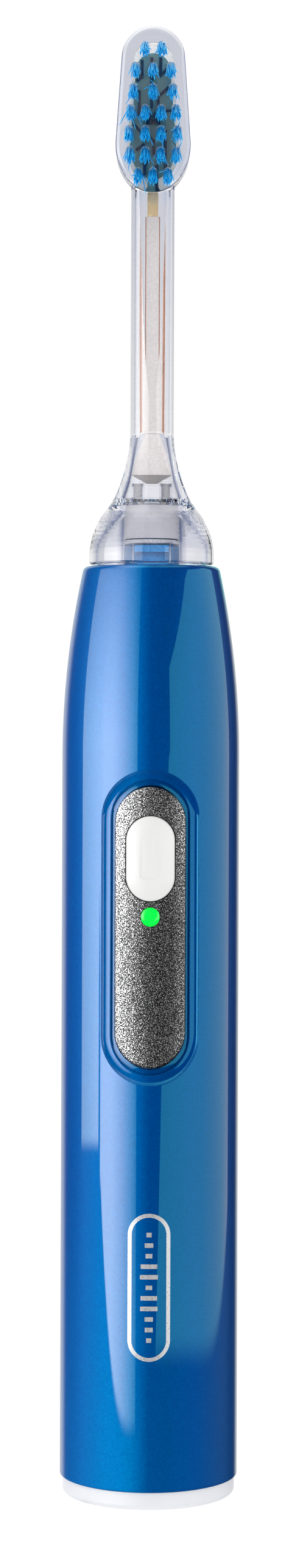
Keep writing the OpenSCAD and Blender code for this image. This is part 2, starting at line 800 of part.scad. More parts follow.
module brush_shell() {
    color([0.85, 0.88, 0.95, 0.35]) difference() {
        union() {
            bell_outside();
            head_slab([0, 0, 0], head_back, plate_back - gap);
            translate([0, 0, head_z - 3.01]) cylinder(r1 = neck_r, r2 = 1.5, h = 8);
        }
        bell_inside();
        head_slab([-gap, -gap, -gap], plate_back - gap, 8);
        head_slab(carrier_inset - [gap, gap, gap], cavity_back, plate_back + 1);
        translate([-channel[0] / 2, -channel[1] / 2, potting_top - 0.5])
            cube([channel[0], channel[1], head_bottom + carrier_inset[2] + 1.6 - potting_top]);
        neck_flat();
    }
}

// Calls its children at every tuft, as a shape drawn in X and Z
module at_tufts() {
    for (row = [0:len(TUFT_ROWS) - 1], x = TUFT_ROWS[row])
        translate([x, 0, tuft_top_z - row * tuft_pitch]) children();
}

module tuft_plate() {
    color([0.85, 0.88, 0.95, 0.35]) difference() {
        head_slab([0, 0, 0], plate_back, plate_front);
        at_tufts() front_slab(plate_front - tuft_root, plate_front + 1) circle(r = tuft_r + root_play);
        at_tufts() front_slab(plate_front - tuft_root, plate_front - tuft_root + anchor[2] + root_play)
            square([anchor[0] + 2 * root_play, anchor[1] + 2 * root_play], center = true);
    }
}

// The part of a tuft that stands in front of the plate, which leans down
module tuft_brush() {
    intersection() {
        translate([0, -plate_front, 0]) rotate([90 + bristle_lean, 0, 0])
            translate([0, 0, -1]) cylinder(r = tuft_r, h = bristle_l + 1);
        front_slab(plate_front + 0.01, plate_front + bristle_l + 1) square(4 * bristle_l, center = true);
    }
}

module bristle_tufts() {
    color([0, 0.45, 0.95]) at_tufts() {
        tuft_brush();
        difference() {
            front_slab(plate_front - tuft_root + root_play, plate_front + root_reach)
                circle(r = tuft_r - root_waist);
            front_slab(plate_front - tuft_root - 1, plate_front - tuft_root + anchor[2] + root_play)
                square([anchor[0] + 1, anchor[1] + 2 * root_play], center = true);
        }
    }
}

module tuft_anchors() {
    color([0.8, 0.7, 0.4]) at_tufts()
        front_slab(plate_front - tuft_root + 0.01, plate_front - tuft_root + anchor[2])
            square([anchor[0], anchor[1]], center = true);
}

module socket_block() {
    color([0.88, 0.9, 0.95, 0.35]) difference() {
        union() {
            rotate_extrude() polygon([
                [sleeve_in_r, handle_h + 0.5], [sleeve_out_r, handle_h + 0.5], [sleeve_out_r, roof_z],
                [post_zone_r + 0.7, roof_z + roof_t], [0, roof_z + roof_t], [0, roof_z],
                [sleeve_in_r, roof_z]]);
            for (side = [-1, 1]) translate([side * pin_x, 0, roof_z + 0.2])
                cylinder(r = socket_post_r, h = socket_post_top - roof_z - 0.2);
        }
        for (side = [-1, 1]) translate([side * pin_x, 0, roof_z - 1])
            cylinder(r = pin_r + 0.25, h = socket_post_top - roof_z + 2);
        translate([-key[0] / 2 - slip, -sleeve_out_r - 1, handle_h])
            cube([key[0] + 2 * slip, 3, key_z + key[2] + 0.3]);
    }
}

module contact_sockets() {
    color([0.8, 0.78, 0.72]) for (side = [-1, 1])
        translate([side * pin_x, 0, roof_z + 0.1])
            ring(pin_r + gap, pin_r + 0.22, socket_post_top - roof_z - 0.2);
}

module neck_potting() {
    low_r = post_zone_r - 0.2 - gap;
    color([0.93, 0.92, 0.9]) difference() {
        union() {
            rotate_extrude() polygon([
                [0, potting_low], [potting_low_r, potting_low], [low_r - gap, potting_z + 0.1],
                [low_r - 0.35, potting_z + 1.4], [strip[0] / 2 + 0.75, potting_top - 1.4],
                [strip[0] / 2, potting_top + 0.5], [0, potting_top + 0.5]]);
            translate([-strip[0] / 2, -strip[1] / 2, potting_top])
                cube([strip[0], strip[1], strip_top - potting_top]);
        }
        for (side = [-1, 1]) translate([side * strip[0] / 2, 0, potting_z])
            cylinder(r = wire_r + 0.02, h = strip_top);
    }
}

module lead_wires() {
    color([0.85, 0.45, 0.25]) for (side = [-1, 1])
        translate([side * strip[0] / 2, 0, potting_z + 2.5])
            cylinder(r = wire_r, h = strip_top - potting_z - 2.5);
}

module lead_tab() {
    color([0.75, 0.62, 0.35])
        translate([-tab[0] / 2, -tab[1] / 2, tail_z - gap - tab[2]]) cube(tab);
}

module head_carrier() {
    color([0.95, 0.94, 0.92]) head_slab(carrier_inset, cavity_back + gap, carrier_front);
}

module board_outline() {
    polygon(head_outline(board_inset));
    translate([-tail_w / 2, tail_z - head_z]) square([tail_w, head_low_k - board_inset[2] + 1.5]);
}

module head_board() {
    color([0.25, 0.42, 0.45]) translate([0, 0, head_z])
        front_slab(carrier_front + 0.02, carrier_front + 0.02 + board_sheet_t) board_outline();
}

// A track as flat bars between its points
module track(points) {
    for (i = [0:len(points) - 2]) {
        d = points[i + 1] - points[i];
        translate(points[i]) rotate(atan2(d[1], d[0]))
            translate([-track_w / 2, -track_w / 2]) square([norm(d) + track_w, track_w]);
    }
}

module board_tracks() {
    back = carrier_front + 0.02 + board_sheet_t + 0.01;
    color([0.03, 0.06, 0.14]) translate([0, 0, head_z]) front_slab(back, back + track_t) {
        track([[-0.25, 13.6], [-0.25, 6]]);
        track([[1.15, 13.6], [1.15, 11], [2.3, 12.1]]);
        track([[-1.75, 13.2], [-1.75, 10.8], [-2.5, 10.2]]);
        track([[-2.2, 8.4], [-2.2, 4.5]]);
        track([[2.5, 9.2], [0.8, 7.6], [0.8, 6]]);
        track([[1.6, 5.4], [2.9, 5.4]]);
        track([[-2.9, 3.1], [-2, 2.1]]);
        track([[-0.65, 1.4], [0.1, 0.6], [0.1, -1.3]]);
        track([[1.95, 2.2], [1.95, -4.2]]);
        track([[-2.5, -0.7], [-1.55, 0]]);
        track([[-0.6, -2.3], [-1.3, -3.1], [-1.3, -4.6]]);
        track([[0.6, -3.4], [0.6, -7]]);
    }
}

// Seen through the plate, the chip stands clear of the tracks that lead to it
module piezo_chip() {
    back = carrier_front + 0.02 + board_sheet_t + track_t + 0.02;
    color([0.04, 0.05, 0.12]) translate([0, 0, head_z + 4.1]) front_slab(back, plate_back - 0.1)
        square([2.3, 1.7], center = true);
}

handle_shell();
base_cap();
base_seal();
coil_bobbin();
charge_coil();
coil_leads();
chassis();
battery_cell();
cell_washer();
cell_tabs();
circuit_board();
board_screws();
driver_chip();
controller_chip();
step_up_core();
step_up_winding();
filter_capacitors();
chip_resistors();
tact_switch();
switch_plunger();
status_led();
light_guide();
control_panel();
panel_gasket();
power_button();
button_seal();
badge();
spigot();
spigot_sleeve();
spigot_ring();
neck_seal();
spigot_screws();
contact_pins();
pin_leads();
brush_shell();
tuft_plate();
socket_block();
contact_sockets();
neck_potting();
lead_wires();
lead_tab();
head_carrier();
head_board();
board_tracks();
piezo_chip();
bristle_tufts();
tuft_anchors();
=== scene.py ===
"""Looks for an upright electric toothbrush: metallic-blue handle, silver panel and a clear brush attachment.

Metres throughout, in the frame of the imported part: +Z up the handle, the button and bristles face -Y.
"""

import json
import math
import random

import bmesh
import bpy
import numpy as np
from mathutils import Matrix, Vector


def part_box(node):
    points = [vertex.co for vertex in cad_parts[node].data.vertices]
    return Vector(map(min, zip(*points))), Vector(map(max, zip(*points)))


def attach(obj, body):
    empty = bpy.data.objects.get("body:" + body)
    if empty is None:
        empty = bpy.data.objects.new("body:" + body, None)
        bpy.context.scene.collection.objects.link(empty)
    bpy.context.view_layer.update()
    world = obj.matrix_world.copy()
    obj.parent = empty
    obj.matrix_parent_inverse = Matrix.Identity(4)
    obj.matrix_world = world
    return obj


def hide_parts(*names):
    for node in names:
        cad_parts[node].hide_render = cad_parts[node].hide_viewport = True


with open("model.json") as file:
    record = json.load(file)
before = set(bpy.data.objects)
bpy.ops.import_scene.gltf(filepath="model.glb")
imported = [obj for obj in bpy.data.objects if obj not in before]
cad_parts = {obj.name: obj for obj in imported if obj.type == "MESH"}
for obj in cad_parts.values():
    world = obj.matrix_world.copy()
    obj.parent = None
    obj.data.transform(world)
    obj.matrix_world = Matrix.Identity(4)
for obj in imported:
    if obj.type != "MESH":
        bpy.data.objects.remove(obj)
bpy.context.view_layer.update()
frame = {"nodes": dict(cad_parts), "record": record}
MM = 0.001

LENS = 75.5
SHIFT_X = 0.0
SHIFT_Y = -0.0575
CAMERA_PLACE = (-0.00024, -0.52, 0.1259)
CAMERA_ROLL = 0.212


# ---- Sizes, in millimetres, some read from the imported part ----


def box_mm(node):
    """Lowest and highest corner of a CAD node, in millimetres."""
    low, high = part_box(node)
    return np.array(low) / MM, np.array(high) / MM


SHELL_LOW, SHELL_HIGH = box_mm("handle_shell")
PANEL_LOW, PANEL_HIGH = box_mm("control_panel")
BUTTON_LOW, BUTTON_HIGH = box_mm("power_button")
LIGHT_LOW, LIGHT_HIGH = box_mm("light_guide")
PLATE_LOW, PLATE_HIGH = box_mm("tuft_plate")
TUFT_LOW = box_mm("bristle_tufts")[0]

HANDLE_R = SHELL_HIGH[0]
HANDLE_TOP = SHELL_HIGH[2]
HANDLE_BOTTOM = SHELL_LOW[2]
SKIN_R = HANDLE_R - 0.015  # so that the printed badge stands just proud of the paint
WALL = 1.8
SHOULDER_H = 30.0
SHOULDER_DROP = 3.3
SHOULDER_R = (SHOULDER_H**2 + SHOULDER_DROP**2) / (2 * SHOULDER_DROP)
SHOULDER_Z = HANDLE_TOP - SHOULDER_H
EDGE_R = 1.0
EDGE_Z = HANDLE_TOP - EDGE_R * 1.1  # where the shoulder ends and the rounded top edge starts
DECK_T = 2.0
NECK_HOLE_R = 5.45

PANEL_W = PANEL_HIGH[0] - PANEL_LOW[0]
PANEL_H = PANEL_HIGH[2] - PANEL_LOW[2]
PANEL_Z = (PANEL_HIGH[2] + PANEL_LOW[2]) / 2
PANEL_TOP_R = -PANEL_LOW[1]
POCKET_W = PANEL_W + 4.1
POCKET_H = PANEL_H + 5.1

BUTTON_W = 7.6
BUTTON_H = 13.2
BUTTON_Z = (BUTTON_HIGH[2] + BUTTON_LOW[2]) / 2
BUTTON_TOP_R = -BUTTON_LOW[1]
LIGHT_R = 1.43
LIGHT_Z = (LIGHT_HIGH[2] + LIGHT_LOW[2]) / 2

PLATE_FRONT = -PLATE_LOW[1]
PLATE_BACK = -PLATE_HIGH[1]
HEAD_LOW_R = PLATE_HIGH[0]
HEAD_LOW_K = 7.7
HEAD_TOP_R = HEAD_LOW_R - 0.92
HEAD_GAP = 13.5
HEAD_Z = PLATE_HIGH[2] - HEAD_TOP_R - HEAD_GAP
TUFT_R = 0.72
TUFT_ROOT = 1.6
TUFT_TOP_Z = PLATE_HIGH[2] - 3.2
TUFT_PITCH = 3.31
TUFT_ROWS = [
    (-1.32, 1.32),
    (-2.8, 0.0, 2.8),
    (-3.1, 0.0, 3.1),
    (-3.56, -1.24, 1.24, 3.56),
    (-3.82, -1.24, 1.24, 3.82),
    (-3.61, -1.22, 1.22, 3.61),
    (-2.34, 0.0, 2.34),
]
BRISTLES_PER_TUFT = 42
BRISTLE_R = 0.088
BRISTLE_L = 9.0
BRISTLE_LEAN = math.radians(18)
SPLAY = 0.018


# ---- Mesh helpers ----


def make_object(name, verts_mm, faces):
    mesh = bpy.data.meshes.new(name)
    mesh.from_pydata([tuple(float(c) * MM for c in v) for v in verts_mm], [], faces)
    mesh.validate()
    obj = bpy.data.objects.new(name, mesh)
    bpy.context.scene.collection.objects.link(obj)
    bm = bmesh.new()
    bm.from_mesh(mesh)
    bmesh.ops.recalc_face_normals(bm, faces=bm.faces)
    bm.to_mesh(mesh)
    bm.free()
    mesh.polygons.foreach_set("use_smooth", [True] * len(mesh.polygons))
    return obj


def sharpen(obj, degrees):
    """Shades obj smooth, apart from edges sharper than degrees."""
    with bpy.context.temp_override(object=obj, selected_editable_objects=[obj], active_object=obj):
        bpy.ops.object.shade_smooth_by_angle(angle=math.radians(degrees))


def bridge(faces, a, b):
    """Quads between two closed loops of vertex numbers of the same length."""
    count = len(a)
    for i in range(count):
        j = (i + 1) % count
        faces.append((a[i], a[j], b[j], b[i]))


def arc(cx, cy, r, start, end, steps):
    """Points of an arc in degrees, both ends included."""
    angles = [math.radians(start + (end - start) * i / steps) for i in range(steps + 1)]
    return [(cx + r * math.cos(a), cy + r * math.sin(a)) for a in angles]


def smoothstep(low, high, value):
    t = min(max((value - low) / (high - low), 0.0), 1.0)
    return t * t * (3 - 2 * t)


def finish_piece(obj, body, slot, material, *nodes):
    obj.data.materials.clear()
    obj.data.materials.append(material)
    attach(obj, body)
    if nodes:
        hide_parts(*nodes)
    return obj


# ---- Material helpers ----


class Nodes:
    """A short way to build a node material."""

    def __init__(self, name):
        self.material = bpy.data.materials.new(name)
        self.material.use_nodes = True
        self.tree = self.material.node_tree
        self.tree.nodes.clear()
        self.output = self.add("ShaderNodeOutputMaterial")
        self.position = None

    def add(self, kind, settings=None, inputs=None):
        node = self.tree.nodes.new(kind)
        for key, value in (settings or {}).items():
            setattr(node, key, value)
        for key, value in (inputs or {}).items():
            self.set(node, key, value)
        return node

    def set(self, node, key, value):
        if isinstance(value, bpy.types.NodeSocket):
            self.tree.links.new(value, node.inputs[key])
        else:
            node.inputs[key].default_value = value

    def surface(self, shader):
        self.tree.links.new(shader.outputs[0], self.output.inputs["Surface"])

    def place(self):
        """The point on the object, in metres."""
        if self.position is None:
            self.position = self.add("ShaderNodeTexCoord").outputs["Object"]
        return self.position

    def noise(self, per_mm, detail=2.0, roughness=0.5):
        node = self.add(
            "ShaderNodeTexNoise",
            inputs={"Vector": self.place(), "Scale": per_mm / MM, "Detail": detail, "Roughness": roughness},
        )
        return node.outputs["Fac"]

    def cells(self, per_mm, feature="F1"):
        node = self.add(
            "ShaderNodeTexVoronoi", {"feature": feature}, {"Vector": self.place(), "Scale": per_mm / MM}
        )
        return node

    def remap(self, value, low, high, to_low, to_high):
        node = self.add(
            "ShaderNodeMapRange",
            inputs={"Value": value, "From Min": low, "From Max": high, "To Min": to_low, "To Max": to_high},
        )
        return node.outputs["Result"]

    def mix(self, factor, a, b):
        node = self.add("ShaderNodeMix", {"data_type": "RGBA"})
        for key, value in ((0, factor), (6, a), (7, b)):
            if isinstance(value, bpy.types.NodeSocket):
                self.tree.links.new(value, node.inputs[key])
            else:
                node.inputs[key].default_value = value
        return node.outputs[2]

    def split(self):
        """The object's x, y and z."""
        return self.add("ShaderNodeSeparateXYZ", inputs={0: self.place()}).outputs

    def grey(self, colour):
        return self.add("ShaderNodeRGBToBW", inputs={0: colour}).outputs[0]

    def times(self, a, b):
        """The product of two colours."""
        node = self.add("ShaderNodeMix", {"data_type": "RGBA", "blend_type": "MULTIPLY"}, {0: 1.0})
        self.tree.links.new(a, node.inputs[6])
        self.tree.links.new(b, node.inputs[7])
        return node.outputs[2]

    def ramp(self, value, stops):
        """A colour ramp with its stops placed over -1 to 1, for a value that runs from 0 to 1."""
        node = self.add("ShaderNodeValToRGB", inputs={0: value})
        elements = node.color_ramp.elements
        for i, (place, colour) in enumerate(stops):
            element = elements[i] if i < 2 else elements.new(1.0)
            element.position = (place + 1) / 2
            element.color = colour
        return node.outputs["Color"]

    def bump(self, height, strength, distance_mm, normal=None):
        inputs = {"Height": height, "Strength": strength, "Distance": distance_mm * MM}
        if normal is not None:
            inputs["Normal"] = normal
        return self.add("ShaderNodeBump", inputs=inputs).outputs["Normal"]

    def principled(self, **inputs):
        named = {key.replace("_", " "): value for key, value in inputs.items()}
        shader = self.add("ShaderNodeBsdfPrincipled", inputs=named)
        self.surface(shader)
        return shader


def rgb(r, g, b):
    return (r, g, b, 1.0)


# ---- Materials ----


# The pearl paint's blue from its left side (-1) to its right side (1), with painted light and shade in it:
# lighter on the left, darker through the middle and on the right.
PEARL_BLUE_WITH_PAINTED_SHADE = [
    (-1.0, 0.1, 0.46), (-0.85, 0.115, 0.505), (-0.5, 0.143, 0.52), (-0.2, 0.15, 0.53), (-0.1, 0.112, 0.45),
    (0.0, 0.068, 0.335), (0.2, 0.058, 0.29), (0.5, 0.055, 0.32), (0.9, 0.048, 0.25), (1.0, 0.045, 0.24),
]
# The red of the clear coat's tint over the same span, as painted reflection colour: the coat's reflections
# come out near white on the left and at the right edge, and cyan from just left of the middle to well right
# of it.
PAINTED_REFLECTION_REDS = [
    (-0.88, 0.95), (-0.7, 0.74), (-0.5, 0.95), (-0.3, 0.95), (-0.2, 0.6), (-0.12, 0.15),
    (0.0, 0.1), (0.6, 0.2), (0.8, 0.4), (0.88, 0.9),
]


def pearl_blue():
    m = Nodes("pearl_blue")
    flakes = m.cells(6.0)
    across = m.remap(m.split()[0], -HANDLE_R * MM, HANDLE_R * MM, 0.0, 1.0)
    # Painted light and shade: the blue is set by place across the handle, lighter on the left and darker in
    # the middle and on the right.
    painted_shade_blue = m.ramp(across, [(place, rgb(0.0, g, b)) for place, g, b in PEARL_BLUE_WITH_PAINTED_SHADE])
    flake = m.remap(m.grey(flakes.outputs["Color"]), 0.2, 0.8, 0.0, 1.0)
    # Painted light: the blue is made lighter and greener towards the handle's foot.
    painted_light_low_down = m.remap(m.split()[2], 3 * MM, 50 * MM, 1.0, 0.0)
    painted_shade_blue = m.times(painted_shade_blue, m.mix(painted_light_low_down, rgb(1, 1, 1), rgb(1, 1.42, 1.16)))
    cloud = m.remap(m.noise(0.9, 3.0), 0.3, 0.7, 0.0, 1.0)
    sparkle = m.mix(flake, rgb(0.68, 0.69, 0.72), rgb(0.92, 0.92, 0.88))
    patchy = m.mix(cloud, rgb(0.97, 0.97, 0.98), rgb(1.03, 1.03, 1.02))
    paint = m.add(
        "ShaderNodeBsdfPrincipled",
        inputs={
            "Base Color": m.times(m.times(painted_shade_blue, sparkle), patchy),
            "Metallic": 0.085,
            "Roughness": m.remap(m.noise(4.0), 0.2, 0.8, 0.33, 0.39),
            "Specular IOR Level": 0.3,
            "Specular Tint": rgb(0.0, 0.7, 1.0),
            "Normal": m.bump(flakes.outputs["Distance"], 0.12, 0.03),
        },
    )
    # Painted reflection colour: the coat's tint is set by place across the handle.
    tint = m.ramp(across, [(place, rgb(red, 0.97, 0.94)) for place, red in PAINTED_REFLECTION_REDS])
    coat = m.add("ShaderNodeBsdfGlossy", inputs={"Color": tint, "Roughness": 0.015})
    fresnel = m.add("ShaderNodeFresnel", inputs={"IOR": 1.5})
    layers = {0: fresnel.outputs[0], 1: paint.outputs[0], 2: coat.outputs[0]}
    m.surface(m.add("ShaderNodeMixShader", inputs=layers))
    return m.material


def white_plastic(name, colour, grain):
    m = Nodes(name)
    fine = m.noise(7.0, 3.0)
    m.principled(
        Base_Color=m.mix(m.noise(0.25), colour, [c * 0.97 for c in colour[:3]] + [1.0]),
        Roughness=m.remap(fine, 0.3, 0.7, 0.3, 0.42),
        Subsurface_Weight=0.15,
        Subsurface_Radius=(0.6 * MM, 0.6 * MM, 0.7 * MM),
        Subsurface_Scale=1.0,
        Normal=m.bump(fine, grain, 0.02),
    )
    return m.material


def glitter_silver():
    m = Nodes("glitter_silver")
    grain = m.noise(6.0, 2.0, 0.6)
    specks = m.cells(7.0)
    colour = m.mix(m.remap(grain, 0.48, 0.66, 0.0, 1.0), rgb(0.045, 0.045, 0.048), rgb(0.9, 0.9, 0.9))
    # Painted shade and light along the plate: darker through the middle of its height, lighter at its top and
    # bottom ends.
    along = m.remap(m.split()[2], PANEL_LOW[2] * MM, PANEL_HIGH[2] * MM, 0.0, 1.0)
    height = [(-1.0, 1.1), (-0.7, 0.8), (-0.1, 0.75), (0.4, 0.95), (0.8, 1.2)]
    colour = m.times(colour, m.ramp(along, [(place, rgb(v, v, v)) for place, v in height]))
    # Painted light and shade across the plate: lighter on the left, darkest just right of the middle, a
    # little lighter again towards the right rim.
    across = m.remap(m.split()[0], -HANDLE_R * MM, HANDLE_R * MM, 0.0, 1.0)
    level = [(-0.4, 1.15), (-0.2, 0.95), (0.0, 0.85), (0.15, 0.42), (0.25, 0.36), (0.33, 0.6)]
    colour = m.times(colour, m.ramp(across, [(place, rgb(v, v, v)) for place, v in level]))
    bumped = m.bump(grain, 0.8, 0.05)
    bumped = m.bump(specks.outputs["Distance"], 0.5, 0.04, bumped)
    m.principled(Base_Color=colour, Metallic=0.9, Roughness=0.25, Normal=bumped)
    return m.material


def plain(name, colour, metallic, rough_low, rough_high, per_mm=3.0, bump=0.1, coat=0.0):
    """A colour with a fine speckle, which also varies the roughness and gives a slight bump."""
    m = Nodes(name)
    speckle = m.noise(per_mm, 3.0)
    darker = [c * 0.85 for c in colour[:3]] + [1.0]
    m.principled(
        Base_Color=m.mix(m.remap(speckle, 0.35, 0.65, 0.0, 1.0), darker, colour),
        Metallic=metallic,
        Roughness=m.remap(speckle, 0.3, 0.7, rough_low, rough_high),
        Coat_Weight=coat,
        Coat_Roughness=0.05,
        Normal=m.bump(speckle, bump, 0.02),
    )
    return m.material


def clear_plastic():
    m = Nodes("clear_plastic")
    haze = m.noise(0.35, 2.0)
    m.principled(
        Base_Color=m.mix(haze, rgb(0.87, 0.875, 0.905), rgb(0.9, 0.905, 0.93)),
        Roughness=m.remap(haze, 0.3, 0.7, 0.008, 0.022),
        IOR=1.49,
        Transmission_Weight=1.0,
        Normal=m.bump(haze, 0.03, 0.01),
    )
    return m.material


def bristle_nylon():
    """Blue nylon, paler towards the tips of the bristles, with a faint painted glow standing in for light
    that passes through the nylon.
    """
    m = Nodes("bristle_nylon")
    out = m.remap(m.split()[1], -PLATE_FRONT * MM, (TUFT_LOW[1] + 0.3) * MM, 0.0, 1.0)
    streak = m.noise(2.5, 2.0)
    shade = m.mix(streak, rgb(0.0, 0.25, 0.6), rgb(0.0, 0.4, 0.76))
    tip = m.mix(streak, rgb(0.0, 0.47, 0.88), rgb(0.07, 0.62, 0.94))
    m.principled(
        Base_Color=m.mix(out, shade, tip),
        Roughness=m.remap(streak, 0.3, 0.7, 0.25, 0.35),
        Specular_IOR_Level=0.2,
        # Painted glow: a faint blue emission, stronger towards the tips, in place of light shining through
        # the nylon.
        Emission_Color=m.mix(out, rgb(0.0, 0.1, 0.2), rgb(0.0, 0.2, 0.35)),
        Emission_Strength=0.3,
        Normal=m.bump(streak, 0.1, 0.01),
    )
    return m.material


def lit_green():
    m = Nodes("lit_green")
    core = m.noise(0.6)
    m.principled(
        Base_Color=m.mix(core, rgb(0.0, 0.75, 0.03), rgb(0.0, 0.85, 0.05)),
        Roughness=m.remap(core, 0.3, 0.7, 0.12, 0.2),
        Emission_Color=rgb(0.0, 0.85, 0.05),
        Emission_Strength=0.9,
        Coat_Weight=0.5,
        Normal=m.bump(core, 0.1, 0.02),
    )
    return m.material


# ---- Handle skin ----


def shoulder_radius(z, inset=0.0):
    """Radius of the outside of the handle at a height, or of a surface inset mm inside it."""
    if z <= SHOULDER_Z:
        return SKIN_R - inset
    return SKIN_R - SHOULDER_R + math.sqrt((SHOULDER_R - inset) ** 2 - (z - SHOULDER_Z) ** 2)


def stadium_point(width, height, z_centre, towards):
    """Point on a stadium (x, z), along the line from its spine towards a given point."""
    half = (height - width) / 2
    spine_z = min(max(towards[1] - z_centre, -half), half) + z_centre
    dx = towards[0]
    dz = towards[1] - spine_z
    length = math.hypot(dx, dz)
    return dx / length * width / 2, spine_z + dz / length * width / 2


# The pocket's section: how far in from its outer edge, and how deep below the handle's surface
POCKET_SECTION = [
    (-1.0, 0.0), (-0.45, 0.0), (-0.14, 0.0), (-0.07, 0.006), (-0.01, 0.03), (0.05, 0.085),
    (0.12, 0.18), (0.22, 0.30), (0.36, 0.42), (0.55, 0.53), (0.78, 0.62), (1.0, 0.68),
    (1.2, 0.71), (1.32, 0.725), (1.39, 0.745), (1.45, 0.79), (1.5, 0.87), (1.53, 0.98),
    (1.56, 1.2), (1.62, 1.3), (1.75, 1.34), (2.38, 1.34),
]


# The patch of the handle's front that the pocket is let into, and how finely the skin is divided
PATCH_HALF_ANGLE = 46.0
PATCH_MARGIN = 2.6
PATCH_LOW = PANEL_Z - POCKET_H / 2 - PATCH_MARGIN
PATCH_HIGH = PANEL_Z + POCKET_H / 2 + PATCH_MARGIN
PATCH_COLUMNS = 44
BACK_COLUMNS = 100
END_ROWS = 15
STRAIGHT_ROWS = 12


def skin_angles():
    """Azimuths of the skin's columns in degrees, those of the patch first."""
    step = 2 * PATCH_HALF_ANGLE / PATCH_COLUMNS
    patch = [-PATCH_HALF_ANGLE + step * i for i in range(PATCH_COLUMNS + 1)]
    rest = 360 - 2 * PATCH_HALF_ANGLE
    return patch + [PATCH_HALF_ANGLE + rest * i / BACK_COLUMNS for i in range(1, BACK_COLUMNS)]


def patch_row_heights():
    """Heights of the patch's rows, closer together towards its two ends."""
    end_h = POCKET_W / 2 + PATCH_MARGIN
    turns = [math.pi / 2 * (1 - i / END_ROWS) for i in range(END_ROWS)]
    lower = [PATCH_LOW + end_h * (1 - math.sin(turn)) for turn in turns]
    straight = np.linspace(PATCH_LOW + end_h, PATCH_HIGH - end_h, STRAIGHT_ROWS)
    return lower + list(straight) + [PATCH_HIGH + PATCH_LOW - z for z in reversed(lower)]


def outside_profile(patch_rows):
    """The skin's outside as (radius, height), from its foot up to the neck hole, and its first patch row."""
    foot = HANDLE_BOTTOM
    points = [(SKIN_R - 0.2, foot), (SKIN_R - 0.06, foot + 0.03)]
    points += [(SKIN_R - 0.01, foot + 0.12), (SKIN_R, foot + 0.3)]
    points += [(SKIN_R, float(z)) for z in np.linspace(foot + 3, PATCH_LOW - 3, 16)]
    first_patch_row = len(points)
    points += [(shoulder_radius(z), z) for z in patch_rows]
    points += [(shoulder_radius(z), float(z)) for z in np.linspace(PATCH_HIGH + 1.5, EDGE_Z - 1.2, 26)]
    lean = math.degrees(math.asin((SHOULDER_H - EDGE_R) / (SHOULDER_R - EDGE_R)))
    edge_x = SKIN_R - SHOULDER_R + (SHOULDER_R - EDGE_R) * math.cos(math.radians(lean))
    points += arc(edge_x, HANDLE_TOP - EDGE_R, EDGE_R, lean, 90, 14)
    points += [(edge_x - 1.5, HANDLE_TOP), (NECK_HOLE_R + 0.15, HANDLE_TOP)]
    points += [(NECK_HOLE_R, HANDLE_TOP - 0.15), (NECK_HOLE_R, HANDLE_TOP - DECK_T)]
    return points, first_patch_row


def inside_profile(patch_rows):
    """The skin's inside as (radius, height), from under the deck down, and its first patch row."""
    deck = HANDLE_TOP - DECK_T
    points = [(shoulder_radius(deck, WALL), deck)]
    points += [(shoulder_radius(z, WALL), float(z)) for z in np.linspace(deck - 2, PATCH_HIGH + 1.5, 12)]
    first_patch_row = len(points)
    points += [(SKIN_R - WALL, z) for z in reversed(patch_rows)]
    points += [(SKIN_R - WALL, PATCH_LOW - 10), (SKIN_R - WALL, HANDLE_BOTTOM)]
    return points, first_patch_row


